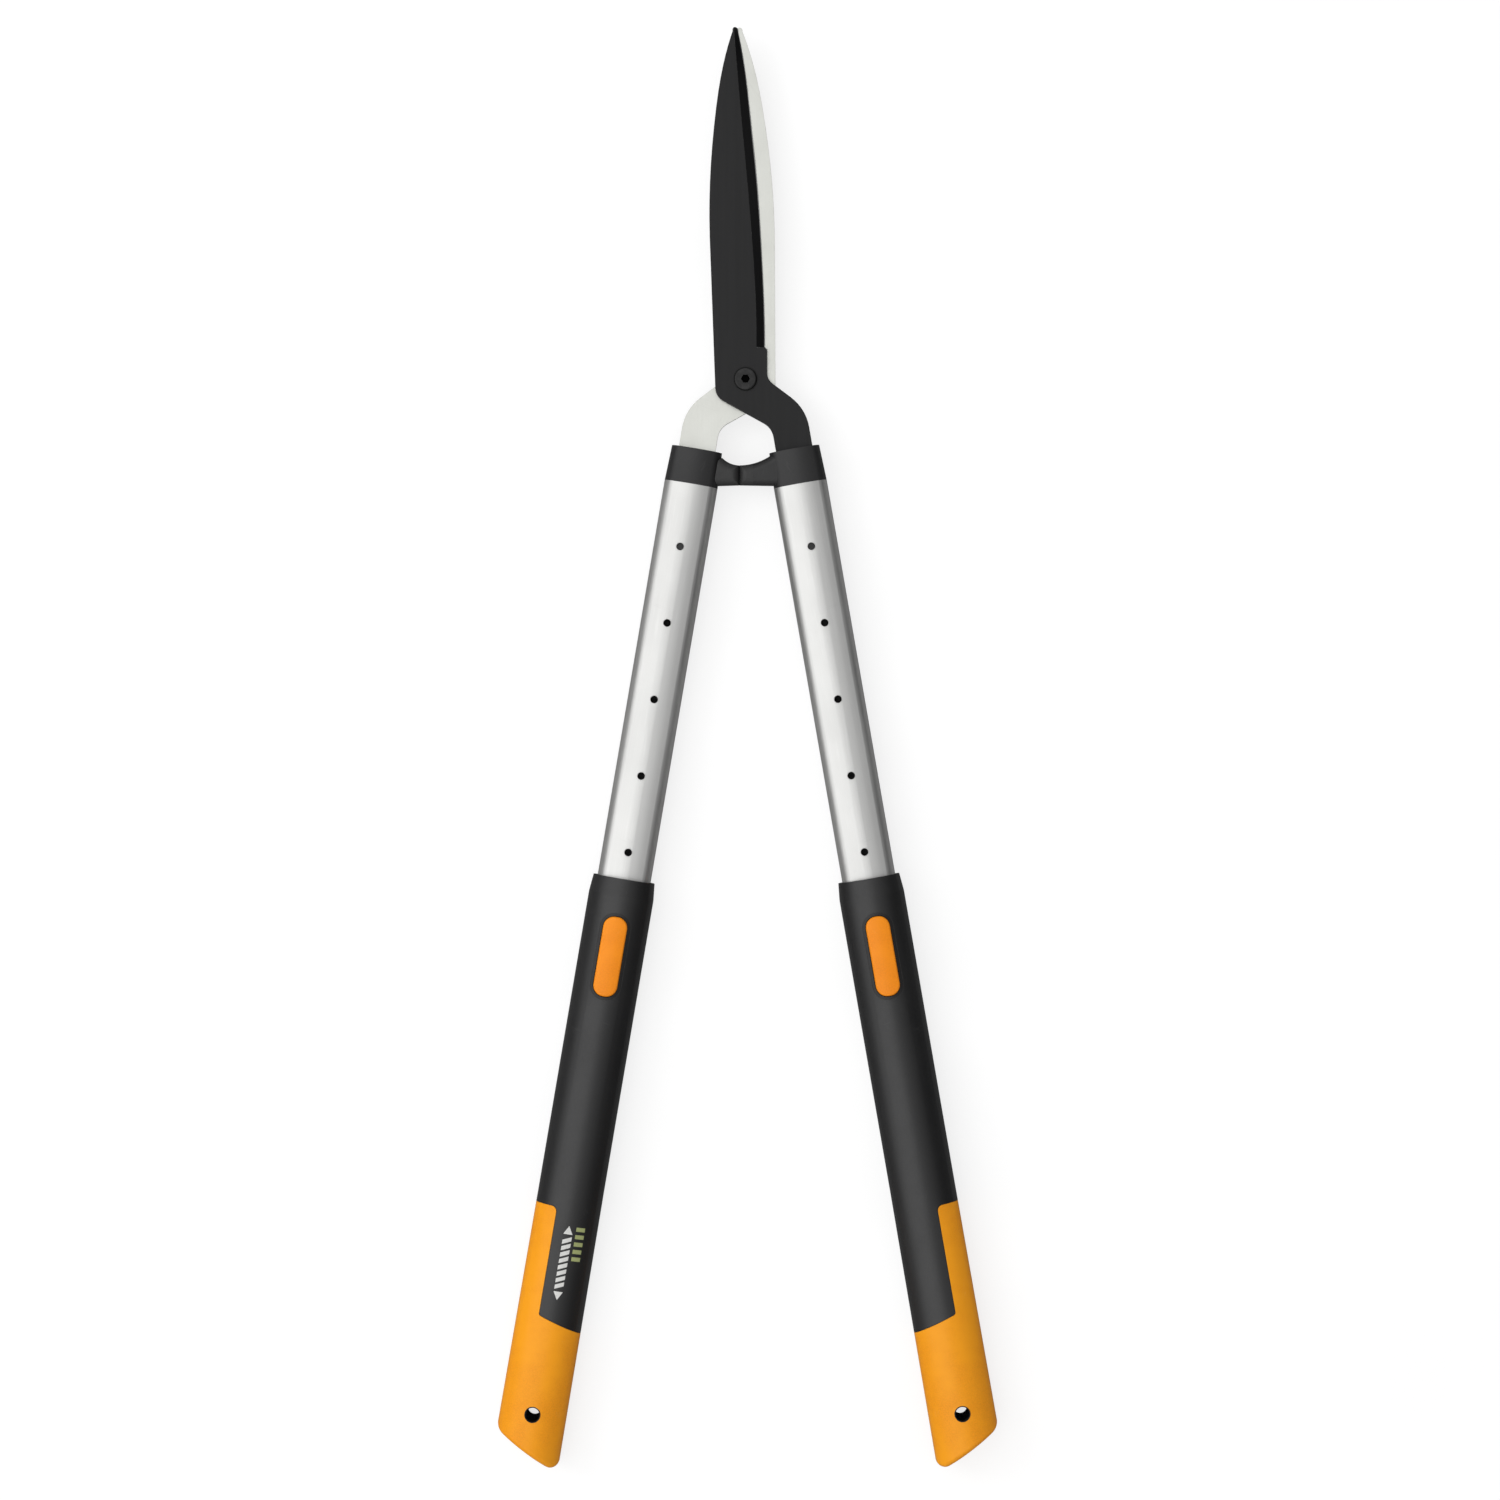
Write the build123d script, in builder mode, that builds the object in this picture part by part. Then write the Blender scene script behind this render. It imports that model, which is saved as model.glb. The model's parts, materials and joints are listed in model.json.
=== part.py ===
from build123d import *

import os
from math import atan2, cos, degrees, radians, sin

# Telescopic hedge shears, closed and fully extended, lying on their back: blades along +Y, front face up.
# Each piece is drafted with the pivot's axis at X 0, Y 0 and the shear plane between the blades at Z 0.
# Everything is drawn for the right-hand handle, and the left-hand one is its mirror image.
# At the end all pieces move together, so that the origin is the footprint's centre on the ground.

# Handle line
HANDLE_ANGLE = 9.75  # each handle leans out from the centre line
TUBE_HEAD = Vector(34.6, -66.5, 0)  # where the right tube's axis leaves its collar
DOWN = Vector(sin(radians(HANDLE_ANGLE)), -cos(radians(HANDLE_ANGLE)), 0)
OUT = Vector(cos(radians(HANDLE_ANGLE)), sin(radians(HANDLE_ANGLE)), 0)

# Blades
PLATE_THICK = 3.2
PLATE_GAP = 0.1  # between the two plates
FRONT_LEAN = 0.0
REAR_LEAN = -2.4  # the rear blade over-closes, so that both tips meet
TIP = (-5.9, 222.9)
STEP_Y = 20.0  # where the ground edge stops above the pivot
HEEL_X = 13.8  # edge side of the plate beside the pivot
BEVEL_WIDTH = 5.3  # at the heel
EDGE_LAND = 0.6  # thickness left at the cutting edge
OVERRUN = 0.3  # share by which the grinding surface runs past the edge
TANG_WIDTH = 23.4
TANG_DEPTH = 42.0  # how far the tang reaches down inside the tube
OUTER_SHOULDER = 46.3  # tang bends, measured up the handle from the tube's head
INNER_SHOULDER = 38.1

# Pivot
BOLT_RADIUS = 4.0
PIVOT_FIT = 0.06  # radial running clearance
HEAD_RADIUS = 7.4
HEAD_HEIGHT = 2.2
SOCKET_FLATS = 5.0
SOCKET_DEPTH = 4.4
WASHER_RADIUS = 8.6
WASHER_THICK = 1.2
NUT_FLATS = 13.0
NUT_HEIGHT = 4.6
NUT_COLLAR = 1.4  # smooth lock ring behind the nut's flats

# Tubes
TUBE_WIDTH = 34.0
TUBE_DEPTH = 19.0
TUBE_CORNER = 8.0
TUBE_WALL = 1.5
TUBE_LENGTH = 331.5
HOLE_RADIUS = 2.4
HOLE_PITCH = 49.0
HOLE_COUNT = 6
FIRST_HOLE = 40.4

# Collars and their stop arms
COLLAR_HEIGHT = 22.5
COLLAR_TAPER = 2.4
PLUG_LENGTH = 46.0
FIT = 0.1  # between a piece and the one that holds it
MEETING_X = -4.0  # where the two stop arms meet
MEETING_GAP = 0.2
ARM_ROOT = (-15.0, -21.2)  # across and down the handle, where the arm's upper edge leaves the collar
ARM_TOP = -54.6
ARM_BOTTOM = -67.2
ARM_DEPTH = 12.0
ARM_SAG = 1.6  # hollow of the arm's upper edge
ARM_ROUND = 4.8
RIGHT_BUFFER = 8.5  # rubber boot on the end of each arm
LEFT_BUFFER = 17.5
TONGUE_INSET = 3.2  # rubber thickness round the arm's own tongue
SCREW_STATIONS = (13.0, 31.0)
SCREW_RADIUS = 2.5
SCREW_HEAD = 4.6
SCREW_TOP = 4.6  # how far in front of the mid plane a screw ends

# Grips
GRIP_TOP = FIRST_HOLE + (HOLE_COUNT - 1) * HOLE_PITCH - 32.0
GRIP_WIDTH = 41.4
GRIP_DEPTH = 31.0
GRIP_CORNER = 11.5
SKIN = 1.5
NECK_LENGTH = 11.0
NECK_INSET = 1.1
FLARE_START = 200.0
FLARE = 0.7
CORE_LENGTH = 328.0
BORE_PLAY = 0.9  # core bore beyond the tube
SLIDE_FIT = 0.3  # sliding clearance
MOUTH_BUSH = 12.0
STOP_BUSH = (61.0, 75.5)
SEAM = 0.2  # groove where two outer mouldings meet

# End caps
TONGUE_TOP = 210.4
TONGUE_EDGE = 6.7
JUNCTION = 279.6
JUNCTION_SLOPE = 0.32
END_MIDDLE = 367.2
END_SLOPE = 0.52
END_INNER_RADIUS = 5.5
END_OUTER_RADIUS = 9.0
HANG_STATION = 342.1
HANG_RADIUS = 4.4
HANG_CHAMFER = 0.8
CAP_WALL = 3.0

# Lock buttons
BUTTON_STATION = 49.4
BUTTON_LENGTH = 50.8
BUTTON_WIDTH = 15.2
BUTTON_PROUD = 1.4
POCKET_GAP = 0.4
BEZEL = 1.8
POCKET_FLOOR = 11.1
RIVET_LEVEL = 12.7
RIVET_RADIUS = 0.9
RIVET_LENGTH = 17.2
BOSS_LENGTH = 4.4
BOSS_BOTTOM = 11.4
UPPER_UNDERSIDE = 13.3
LOWER_UNDERSIDE = 13.9
LOCK_RADIUS = 2.0
LOCK_CLEARANCE = 0.3  # nose to tube wall
SPRING_ARM = 17.0
SPRING_RADIUS = 2.2
SPRING_WIRE = 0.3
SPRING_TURNS = 1.5

PLATE_TOP = PLATE_GAP / 2 + PLATE_THICK
LOCK_STATION = FIRST_HOLE + (HOLE_COUNT - 1) * HOLE_PITCH
FAR = 60.0  # reach of cutting shapes beyond the object


def square_to(distance):
    """Plane square to the right handle, that far down it: x points outward and y to the front."""
    return Plane(origin=TUBE_HEAD + DOWN * distance, x_dir=OUT, z_dir=DOWN)


def facing(height):
    """Plane parallel to the shear plane: x points outward across the right handle and y up along it."""
    return Plane(origin=TUBE_HEAD + Vector(0, 0, height), x_dir=OUT, z_dir=(0, 0, 1))


def beside(across, distance):
    """Point in the shear plane, that far outward from the right handle's axis and down along it."""
    return TUBE_HEAD + OUT * across + DOWN * distance


def oval(width, depth, corner, mode=Mode.ADD):
    """Four tangent arcs: two shallow crowns, front and back, and two tight sides."""
    side = width / 2 - corner
    crown = (side**2 + (depth / 2) ** 2 - corner**2) / (depth - 2 * corner)
    drop = crown - depth / 2
    spread = degrees(atan2(side, drop))
    with BuildLine() as outline:
        CenterArc((0, -drop), crown, 90 - spread, 2 * spread)
        CenterArc((-side, 0), corner, 90 + spread, 180 - 2 * spread)
        CenterArc((0, drop), crown, 270 - spread, 2 * spread)
        CenterArc((side, 0), corner, spread - 90, 180 - 2 * spread)
    make_face(outline.edges(), mode=mode)


def tube_oval(inset, mode=Mode.ADD):
    """The tube's outline, drawn in by an inset."""
    oval(TUBE_WIDTH - 2 * inset, TUBE_DEPTH - 2 * inset, TUBE_CORNER - inset, mode)


def grip_oval(inset, mode=Mode.ADD):
    """The grip's outline, drawn in by an inset."""
    oval(GRIP_WIDTH - 2 * inset, GRIP_DEPTH - 2 * inset, GRIP_CORNER - inset, mode)


def grip_envelope(inset=0.0):
    """Outer shape that the grip, its end cap and the button's rim share, from neck to past the end."""
    for start, end, first, last in (
        (0, NECK_LENGTH, NECK_INSET, 0),
        (NECK_LENGTH, FLARE_START, 0, 0),
        (FLARE_START, END_MIDDLE + FAR / 2, 0, -FLARE),
    ):
        with BuildSketch(square_to(GRIP_TOP + start)) as upper:
            grip_oval(inset + first)
        with BuildSketch(square_to(GRIP_TOP + end)) as lower:
            grip_oval(inset + last)
        loft([upper.sketch, lower.sketch])


def blade(lean):
    """Blade plate with its ground edge to the right and its tang running down the right handle.

    The stations are edge points from the tip to the heel, each with the bevel's width there.
    """

    def leaned(x, y):
        return Vector(x, y).rotate(Axis.Z, lean)

    stations = (
        (-4.2, 220.4, 2.6),
        (-0.8, 202.2, 4.6),
        (3.8, 164.0, 6.0),
        (7.6, 126.0, 6.3),
        (10.2, 86.0, 5.7),
        (12.0, 45.0, BEVEL_WIDTH),
        (12.3, STEP_Y, BEVEL_WIDTH),
    )
    edge = [leaned(x, y) for x, y, _ in stations]
    back = ((-7.7, 220.4), (-13.0, 202.2), (-19.2, 164.0), (-22.3, 124.0), (-22.5, 90.0))
    spine = [leaned(x, y) for x, y in back]
    beyond_tip = leaned(-6.0, 234.0)
    depth = PLATE_THICK - EDGE_LAND
    ground = [(beyond_tip, 1.2)] + [(p, w) for p, (_, _, w) in zip(edge, stations)]
    across = leaned(1, 0)
    outer_rail = [p + across * w * OVERRUN + Vector(0, 0, -depth * OVERRUN) for p, w in ground]
    inner_rail = [p - across * w * (1 + OVERRUN) + Vector(0, 0, depth * (1 + OVERRUN)) for p, w in ground]
    lift = Vector(0, 0, PLATE_GAP / 2 + EDGE_LAND)
    heel = leaned(HEEL_X, STEP_Y - 1.5)

    with BuildPart() as plate:
        with BuildSketch(Plane.XY.offset(PLATE_GAP / 2)):
            with BuildLine():
                Spline(edge)
                Line(edge[-1], heel)
                FilletPolyline(
                    heel,
                    (HEEL_X, -0.4),
                    beside(TANG_WIDTH / 2, -OUTER_SHOULDER),
                    beside(TANG_WIDTH / 2, TANG_DEPTH),
                    radius=(8, 30),
                )
                Line(beside(TANG_WIDTH / 2, TANG_DEPTH), beside(-TANG_WIDTH / 2, TANG_DEPTH))
                FilletPolyline(
                    beside(-TANG_WIDTH / 2, TANG_DEPTH),
                    beside(-TANG_WIDTH / 2, -INNER_SHOULDER),
                    (-19.0, -11.2),
                    spine[-1],
                    radius=(12, 10),
                )
                Spline(list(reversed(spine)))
                ThreePointArc(spine[0], leaned(*TIP), edge[0])
            make_face()
        extrude(amount=PLATE_THICK)
        grind = Face.make_surface_from_curves(
            Edge.make_spline([p + lift for p in outer_rail]),
            Edge.make_spline([p + lift for p in inner_rail]),
        )
        extrude(grind, amount=FAR, dir=(0, 0, 1), mode=Mode.SUBTRACT)
        with BuildSketch(Plane.XY):
            Circle(BOLT_RADIUS + PIVOT_FIT)
        extrude(amount=FAR, mode=Mode.SUBTRACT)
        with BuildSketch(facing(0)):
            with Locations([(0, -s) for s in SCREW_STATIONS]):
                Circle(SCREW_RADIUS)
        extrude(amount=FAR, mode=Mode.SUBTRACT)
    return plate.part


def pivot_bolt():
    """Low round head with a hex socket, and a plain shank through both plates and the nut."""
    shank = 2 * PLATE_TOP + FIT + WASHER_THICK + NUT_HEIGHT + NUT_COLLAR
    sunk = SOCKET_DEPTH - HEAD_HEIGHT
    with BuildPart() as bolt:
        with BuildSketch(Plane.XY.offset(PLATE_TOP)):
            Circle(HEAD_RADIUS)
        extrude(amount=HEAD_HEIGHT)
        fillet(bolt.edges().group_by(Axis.Z)[-1], 1.4)
        with BuildSketch(Plane.XY.offset(PLATE_TOP + HEAD_HEIGHT)):
            RegularPolygon(SOCKET_FLATS / 2, 6, major_radius=False)
        extrude(amount=-SOCKET_DEPTH, mode=Mode.SUBTRACT)
        with BuildSketch(Plane.XY.offset(PLATE_TOP - sunk)):
            Circle(BOLT_RADIUS)
        extrude(amount=sunk - shank)
        with BuildSketch(Plane.XY.offset(PLATE_TOP)):
            Circle(BOLT_RADIUS)
            RegularPolygon(SOCKET_FLATS / 2, 6, major_radius=False, mode=Mode.SUBTRACT)
        extrude(amount=-sunk)
        chamfer(bolt.edges().group_by(Axis.Z)[0], 0.6)
    return bolt.part


def pivot_washer():
    """Flat washer between the rear plate and the nut."""
    with BuildPart() as washer:
        with BuildSketch(Plane.XY.offset(-PLATE_TOP - FIT)):
            Circle(WASHER_RADIUS)
            Circle(BOLT_RADIUS + FIT, mode=Mode.SUBTRACT)
        extrude(amount=-WASHER_THICK)
        chamfer(washer.edges().filter_by(GeomType.CIRCLE).group_by(SortBy.RADIUS)[-1], 0.25)
    return washer.part


def pivot_nut():
    """Hexagon lock nut with chamfered corners and a smooth ring behind it."""
    top = -PLATE_TOP - FIT - WASHER_THICK
    with BuildPart() as nut:
        with BuildSketch(Plane.XY.offset(top)):
            RegularPolygon(NUT_FLATS / 2, 6, major_radius=False)
        extrude(amount=-NUT_HEIGHT)
        with BuildSketch(Plane.XY.offset(top)):
            Circle(NUT_FLATS / 2 * 1.02)
        extrude(amount=-FAR, taper=-45, mode=Mode.INTERSECT)
        with BuildSketch(Plane.XY.offset(top - NUT_HEIGHT)):
            Circle(NUT_FLATS / 2 * 0.88)
        extrude(amount=-NUT_COLLAR, taper=12)
        with BuildSketch(Plane.XY.offset(top)):
            Circle(BOLT_RADIUS)
        extrude(amount=-FAR, mode=Mode.SUBTRACT)
    return nut.part


def screw_shape(clearance, reach, mode=Mode.ADD):
    """Countersunk screws in the back of the tube, added to the part in progress or cut from it.

    clearance widens the holes for them, and reach carries the holes out behind the heads.
    """
    back = -TUBE_DEPTH / 2 + 0.15
    cone = back + 0.3
    for station in SCREW_STATIONS:
        with BuildSketch(square_to(station)) as section:
            with BuildLine():
                Polyline(
                    (0, back - reach),
                    (SCREW_HEAD + clearance, back - reach),
                    (SCREW_HEAD + clearance, cone),
                    (SCREW_RADIUS + clearance, cone + SCREW_HEAD - SCREW_RADIUS),
                    (SCREW_RADIUS + clearance, SCREW_TOP + clearance),
                    (0, SCREW_TOP + clearance),
                    close=True,
                )
            make_face()
        revolve(section.sketch, axis=Axis(TUBE_HEAD + DOWN * station, (0, 0, 1)), mode=mode)


def tang_screws():
    """Two countersunk screws with hex sockets, from the back of the tube into the tang."""
    with BuildPart() as screws:
        screw_shape(0, 0)
        with BuildSketch(facing(-TUBE_DEPTH / 2)):
            with Locations([(0, -s) for s in SCREW_STATIONS]):
                RegularPolygon(1.5, 6, major_radius=False)
        extrude(amount=2.0, mode=Mode.SUBTRACT)
    return screws.part


def stop_arm(end):
    """Arm from the collar towards the other handle, with a hollow upper edge, up to an X."""
    root = beside(*ARM_ROOT)
    with BuildPart() as arm:
        with BuildSketch(Plane.XY.offset(-ARM_DEPTH / 2)):
            with BuildLine():
                SagittaArc(root, (end, ARM_TOP), ARM_SAG)
                Polyline((end, ARM_TOP), (end, ARM_BOTTOM), beside(-14, -1.2), beside(-8, -1.2))
                Polyline(beside(-8, -1.2), beside(-8, ARM_ROOT[1]), root)
            make_face()
        extrude(amount=ARM_DEPTH)
        outer = arm.edges().filter_by(lambda e: e.center().X < root.X - 0.5)
        fillet(outer.filter_by(Axis.Z, reverse=True), ARM_ROUND)
    return arm.part


def tongue(end, length, mode):
    """The arm's own core inside the rubber boot, added to the part in progress or cut from it."""
    inset = TONGUE_INSET
    with BuildSketch(Plane((end + inset, 0, 0), x_dir=(0, 1, 0), z_dir=(1, 0, 0))) as section:
        with Locations(((ARM_TOP + ARM_BOTTOM) / 2, 0)):
            RectangleRounded(ARM_TOP - ARM_BOTTOM - 2 * inset, ARM_DEPTH - 2 * inset, 1.5)
    extrude(section.sketch, amount=length - inset + 0.5, mode=mode)


def boot_zone(end, length, mode):
    """Everything between the arm's end and the root of its rubber boot."""
    with BuildSketch(Plane.YZ.offset(end - 1)) as section:
        with Locations((ARM_TOP, 0)):
            Rectangle(FAR, FAR)
    extrude(section.sketch, amount=length + 1, mode=mode)


def buffer(arm, end, length):
    """Rubber boot over the end of a stop arm."""
    with BuildPart() as boot:
        add(arm)
        boot_zone(end, length, Mode.INTERSECT)
        with BuildSketch(square_to(0)):
            tube_oval(0)
        extrude(amount=-2 * COLLAR_HEIGHT, mode=Mode.SUBTRACT)
        tongue(end, length, Mode.SUBTRACT)
    return boot.part


def collar(level, arm, end, length):
    """Moulded head of a tube: cap, plug inside the tube, slot for the tang, and stop arm.

    level is the tang's middle height, end the arm's X, and length its rubber boot's length.
    """
    with BuildPart() as head:
        add(arm)
        boot_zone(end, length, Mode.SUBTRACT)
        tongue(end, length, Mode.ADD)
        with BuildSketch(square_to(0)):
            tube_oval(0)
        extrude(amount=-COLLAR_HEIGHT, taper=COLLAR_TAPER)
        with BuildSketch(square_to(0)):
            tube_oval(TUBE_WALL + 0.02)
        extrude(amount=PLUG_LENGTH)
        with BuildSketch(facing(level - PLATE_THICK / 2 - FIT)):
            with Locations((0, (COLLAR_HEIGHT - TANG_DEPTH) / 2)):
                Rectangle(TANG_WIDTH + 2 * FIT, TANG_DEPTH + COLLAR_HEIGHT + 2 * FIT)
        extrude(amount=PLATE_THICK + 2 * FIT, mode=Mode.SUBTRACT)
        screw_shape(FIT / 2, 1, Mode.SUBTRACT)
    return head.part


def tube():
    """Oval tube with a row of lock holes in its front and countersunk screw holes in its back."""
    with BuildPart() as body:
        with BuildSketch(square_to(0)):
            tube_oval(0)
            tube_oval(TUBE_WALL, Mode.SUBTRACT)
        extrude(amount=TUBE_LENGTH)
        with BuildSketch(facing(0)):
            with Locations([(0, -FIRST_HOLE - i * HOLE_PITCH) for i in range(HOLE_COUNT)]):
                Circle(HOLE_RADIUS)
        extrude(amount=FAR, mode=Mode.SUBTRACT)
        screw_shape(FIT / 2, 1, Mode.SUBTRACT)
    return body.part


def tube_plug():
    """Hollow plug in the tube's lower end. Its rim is wider than the tube and meets the stop bush."""
    with BuildPart() as plug:
        with BuildSketch(square_to(TUBE_LENGTH)):
            tube_oval(-BORE_PLAY + SLIDE_FIT)
        extrude(amount=2.5)
        with BuildSketch(square_to(TUBE_LENGTH)):
            tube_oval(TUBE_WALL + 0.02)
            tube_oval(TUBE_WALL + 1.8, Mode.SUBTRACT)
        extrude(amount=-14)
    return plug.part


def bush(start, end):
    """Nylon sleeve fixed in the grip's bore, which the tube slides through."""
    with BuildPart() as sleeve:
        with BuildSketch(square_to(GRIP_TOP + start)):
            tube_oval(-BORE_PLAY)
            tube_oval(-SLIDE_FIT, Mode.SUBTRACT)
        extrude(amount=end - start)
    return sleeve.part


def slot_prism(margin, low, mode):
    """Prism with the button's rounded outline, grown by a margin, from a height upward."""
    with BuildSketch(facing(low)) as outline:
        with Locations((0, -GRIP_TOP - BUTTON_STATION)):
            RectangleRounded(
                BUTTON_WIDTH + 2 * margin, BUTTON_LENGTH + 2 * margin, BUTTON_WIDTH / 2 - 0.6 + margin
            )
    extrude(outline.sketch, amount=FAR, mode=mode)


def bezel():
    """Raised rim round the button, level with the soft grip's surface."""
    with BuildPart() as rim:
        grip_envelope()
        slot_prism(POCKET_GAP + BEZEL, POCKET_FLOOR, Mode.INTERSECT)
    return rim.part


def grip_core(rim):
    """Stiff sleeve that the tube slides in, with the button's pocket, its rivet holes and the lock hole."""
    with BuildPart() as core:
        with BuildSketch(square_to(GRIP_TOP)):
            grip_oval(SKIN)
        extrude(amount=CORE_LENGTH)
        add(rim)
        with BuildSketch(square_to(GRIP_TOP)):
            tube_oval(-BORE_PLAY)
        extrude(amount=CORE_LENGTH, mode=Mode.SUBTRACT)
        slot_prism(POCKET_GAP, POCKET_FLOOR, Mode.SUBTRACT)
        with BuildSketch(facing(0)):
            with Locations((0, -LOCK_STATION)):
                Circle(LOCK_RADIUS + 0.6)
        extrude(amount=FAR, mode=Mode.SUBTRACT)
        rivet_shape(RIVET_RADIUS, Mode.SUBTRACT)
    return core.part


def rivet_shape(radius, mode=Mode.ADD):
    """Cylinder across the handle on the button's rocking axis."""
    middle = beside(-RIVET_LENGTH / 2, GRIP_TOP + BUTTON_STATION) + Vector(0, 0, RIVET_LEVEL)
    with BuildSketch(Plane(middle, x_dir=DOWN, z_dir=OUT)) as end:
        Circle(radius)
    extrude(end.sketch, amount=RIVET_LENGTH, mode=mode)


def button_rivet():
    """Steel pin that the button rocks on."""
    with BuildPart() as rivet:
        rivet_shape(RIVET_RADIUS)
    return rivet.part


def lock_button():
    """Rocker with a crowned top that stands proud of the grip, a hinge boss and a seat for the lock pin."""
    with BuildPart() as button:
        grip_envelope(-BUTTON_PROUD)
        slot_prism(0, LOWER_UNDERSIDE, Mode.INTERSECT)
        fillet(button.faces().sort_by(Axis.Z)[-1].edges(), 1.3)
        with BuildSketch(facing(UPPER_UNDERSIDE)):
            with Locations((0, -LOCK_STATION)):
                Circle(LOCK_RADIUS + 1.4)
        extrude(amount=LOWER_UNDERSIDE - UPPER_UNDERSIDE + 0.5)
        with BuildSketch(facing(BOSS_BOTTOM)):
            with Locations((0, -GRIP_TOP - BUTTON_STATION)):
                Rectangle(BUTTON_WIDTH - 1.6, BOSS_LENGTH)
        extrude(amount=LOWER_UNDERSIDE - BOSS_BOTTOM + 0.5)
        rivet_shape(RIVET_RADIUS + FIT / 2, Mode.SUBTRACT)
        with BuildSketch(facing(0)):
            with Locations((0, -LOCK_STATION)):
                Circle(LOCK_RADIUS)
        extrude(amount=LOWER_UNDERSIDE + 1, mode=Mode.SUBTRACT)
    return button.part


def lock_pin():
    """Steel pin under the button's upper end, with a chamfered nose over the tube's lock hole."""
    nose = TUBE_DEPTH / 2 + LOCK_CLEARANCE
    with BuildPart() as pin:
        with BuildSketch(facing(nose)):
            with Locations((0, -LOCK_STATION)):
                Circle(LOCK_RADIUS)
        extrude(amount=LOWER_UNDERSIDE + 1 - nose)
        chamfer(pin.edges().group_by(Axis.Z)[0], 0.4)
    return pin.part


def button_spring():
    """Small coil under the button's lower end."""
    base = POCKET_FLOOR + FIT / 2 + SPRING_WIRE / 2
    rise = LOWER_UNDERSIDE - POCKET_FLOOR - FIT - SPRING_WIRE
    centre = beside(0, GRIP_TOP + BUTTON_STATION + SPRING_ARM) + Vector(0, 0, base)
    with BuildPart() as spring:
        with BuildLine():
            coil = Helix(rise / SPRING_TURNS, rise, SPRING_RADIUS, center=centre)
        with BuildSketch(Plane(coil @ 0, z_dir=coil % 0)):
            Circle(SPRING_WIRE / 2)
        sweep(path=coil, is_frenet=True)
    return spring.part


def cap_share(grow, mode):
    """The end cap's share of the handle in plan: tongue up the outer side, then the whole lower end."""
    bottom = -GRIP_TOP - END_MIDDLE - FAR
    corner = -GRIP_TOP - JUNCTION + grow
    with BuildSketch(facing(-FAR)) as share:
        with BuildLine():
            FilletPolyline(
                (FAR, -GRIP_TOP - TONGUE_TOP + grow),
                (TONGUE_EDGE - grow, -GRIP_TOP - TONGUE_TOP + grow),
                (TONGUE_EDGE - grow, corner),
                (-FAR, corner - JUNCTION_SLOPE * (FAR + TONGUE_EDGE)),
                radius=(3.5, 2.0),
            )
            Polyline(
                (-FAR, corner - JUNCTION_SLOPE * (FAR + TONGUE_EDGE)),
                (-FAR, bottom),
                (FAR, bottom),
                (FAR, -GRIP_TOP - TONGUE_TOP + grow),
            )
        make_face()
    extrude(share.sketch, amount=2 * FAR, mode=mode)


def soft_grip():
    """Rubber skin over the core, cut away for the end cap and the button's rim."""
    with BuildPart() as grip:
        grip_envelope()
        with BuildSketch(square_to(GRIP_TOP)):
            grip_oval(SKIN)
        extrude(amount=END_MIDDLE + FAR, mode=Mode.SUBTRACT)
        cap_share(SEAM, Mode.SUBTRACT)
        slot_prism(POCKET_GAP + BEZEL, 0, Mode.SUBTRACT)
    return grip.part


def end_outline(inset):
    """Plan of the handle's slanted lower end, drawn in by an inset, in the part in progress."""
    half = GRIP_WIDTH / 2 + FLARE - inset
    middle = -GRIP_TOP - END_MIDDLE + inset / cos(atan2(END_SLOPE, 1))
    with BuildSketch(facing(-FAR)) as outline:
        with BuildLine():
            FilletPolyline(
                (-half, 0),
                (-half, middle - END_SLOPE * half),
                (half, middle + END_SLOPE * half),
                (half, 0),
                radius=(END_INNER_RADIUS - inset / 2, END_OUTER_RADIUS - inset / 2),
            )
            Line((half, 0), (-half, 0))
        make_face()
    extrude(outline.sketch, amount=2 * FAR, mode=Mode.INTERSECT)


def cap_hollow():
    """Space inside the end cap below the core, round the hanging hole's own wall."""
    with BuildPart() as hollow:
        with BuildSketch(square_to(GRIP_TOP + CORE_LENGTH - 1)):
            grip_oval(CAP_WALL)
        extrude(amount=FAR)
        end_outline(CAP_WALL)
        with BuildSketch(facing(-FAR)):
            with Locations((0, -GRIP_TOP - HANG_STATION)):
                Circle(HANG_RADIUS + CAP_WALL)
        extrude(amount=2 * FAR, mode=Mode.SUBTRACT)
    return hollow.part


def end_cap(hollow):
    """Hard cap with a tongue up the outer side, a slanted end and a hanging hole through it."""
    with BuildPart() as cap:
        grip_envelope()
        end_outline(0)
        cap_share(0, Mode.INTERSECT)
        fillet(
            cap.edges().filter_by(lambda e: (e.center() - beside(0, GRIP_TOP + END_MIDDLE)).dot(DOWN) > -6),
            3.0,
        )
        with BuildSketch(square_to(GRIP_TOP)):
            grip_oval(SKIN - 0.02)
        extrude(amount=CORE_LENGTH, mode=Mode.SUBTRACT)
        add(hollow, mode=Mode.SUBTRACT)
        with BuildSketch(facing(-FAR)):
            with Locations((0, -GRIP_TOP - HANG_STATION)):
                Circle(HANG_RADIUS)
        extrude(amount=2 * FAR, mode=Mode.SUBTRACT)
        for side in (1, -1):
            with BuildSketch(facing(side * (GRIP_DEPTH / 2 + FLARE))):
                with Locations((0, -GRIP_TOP - HANG_STATION)):
                    Circle(HANG_RADIUS + HANG_CHAMFER)
            extrude(amount=-side * (HANG_CHAMFER + FIT), taper=45, mode=Mode.SUBTRACT)
    return cap.part


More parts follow.
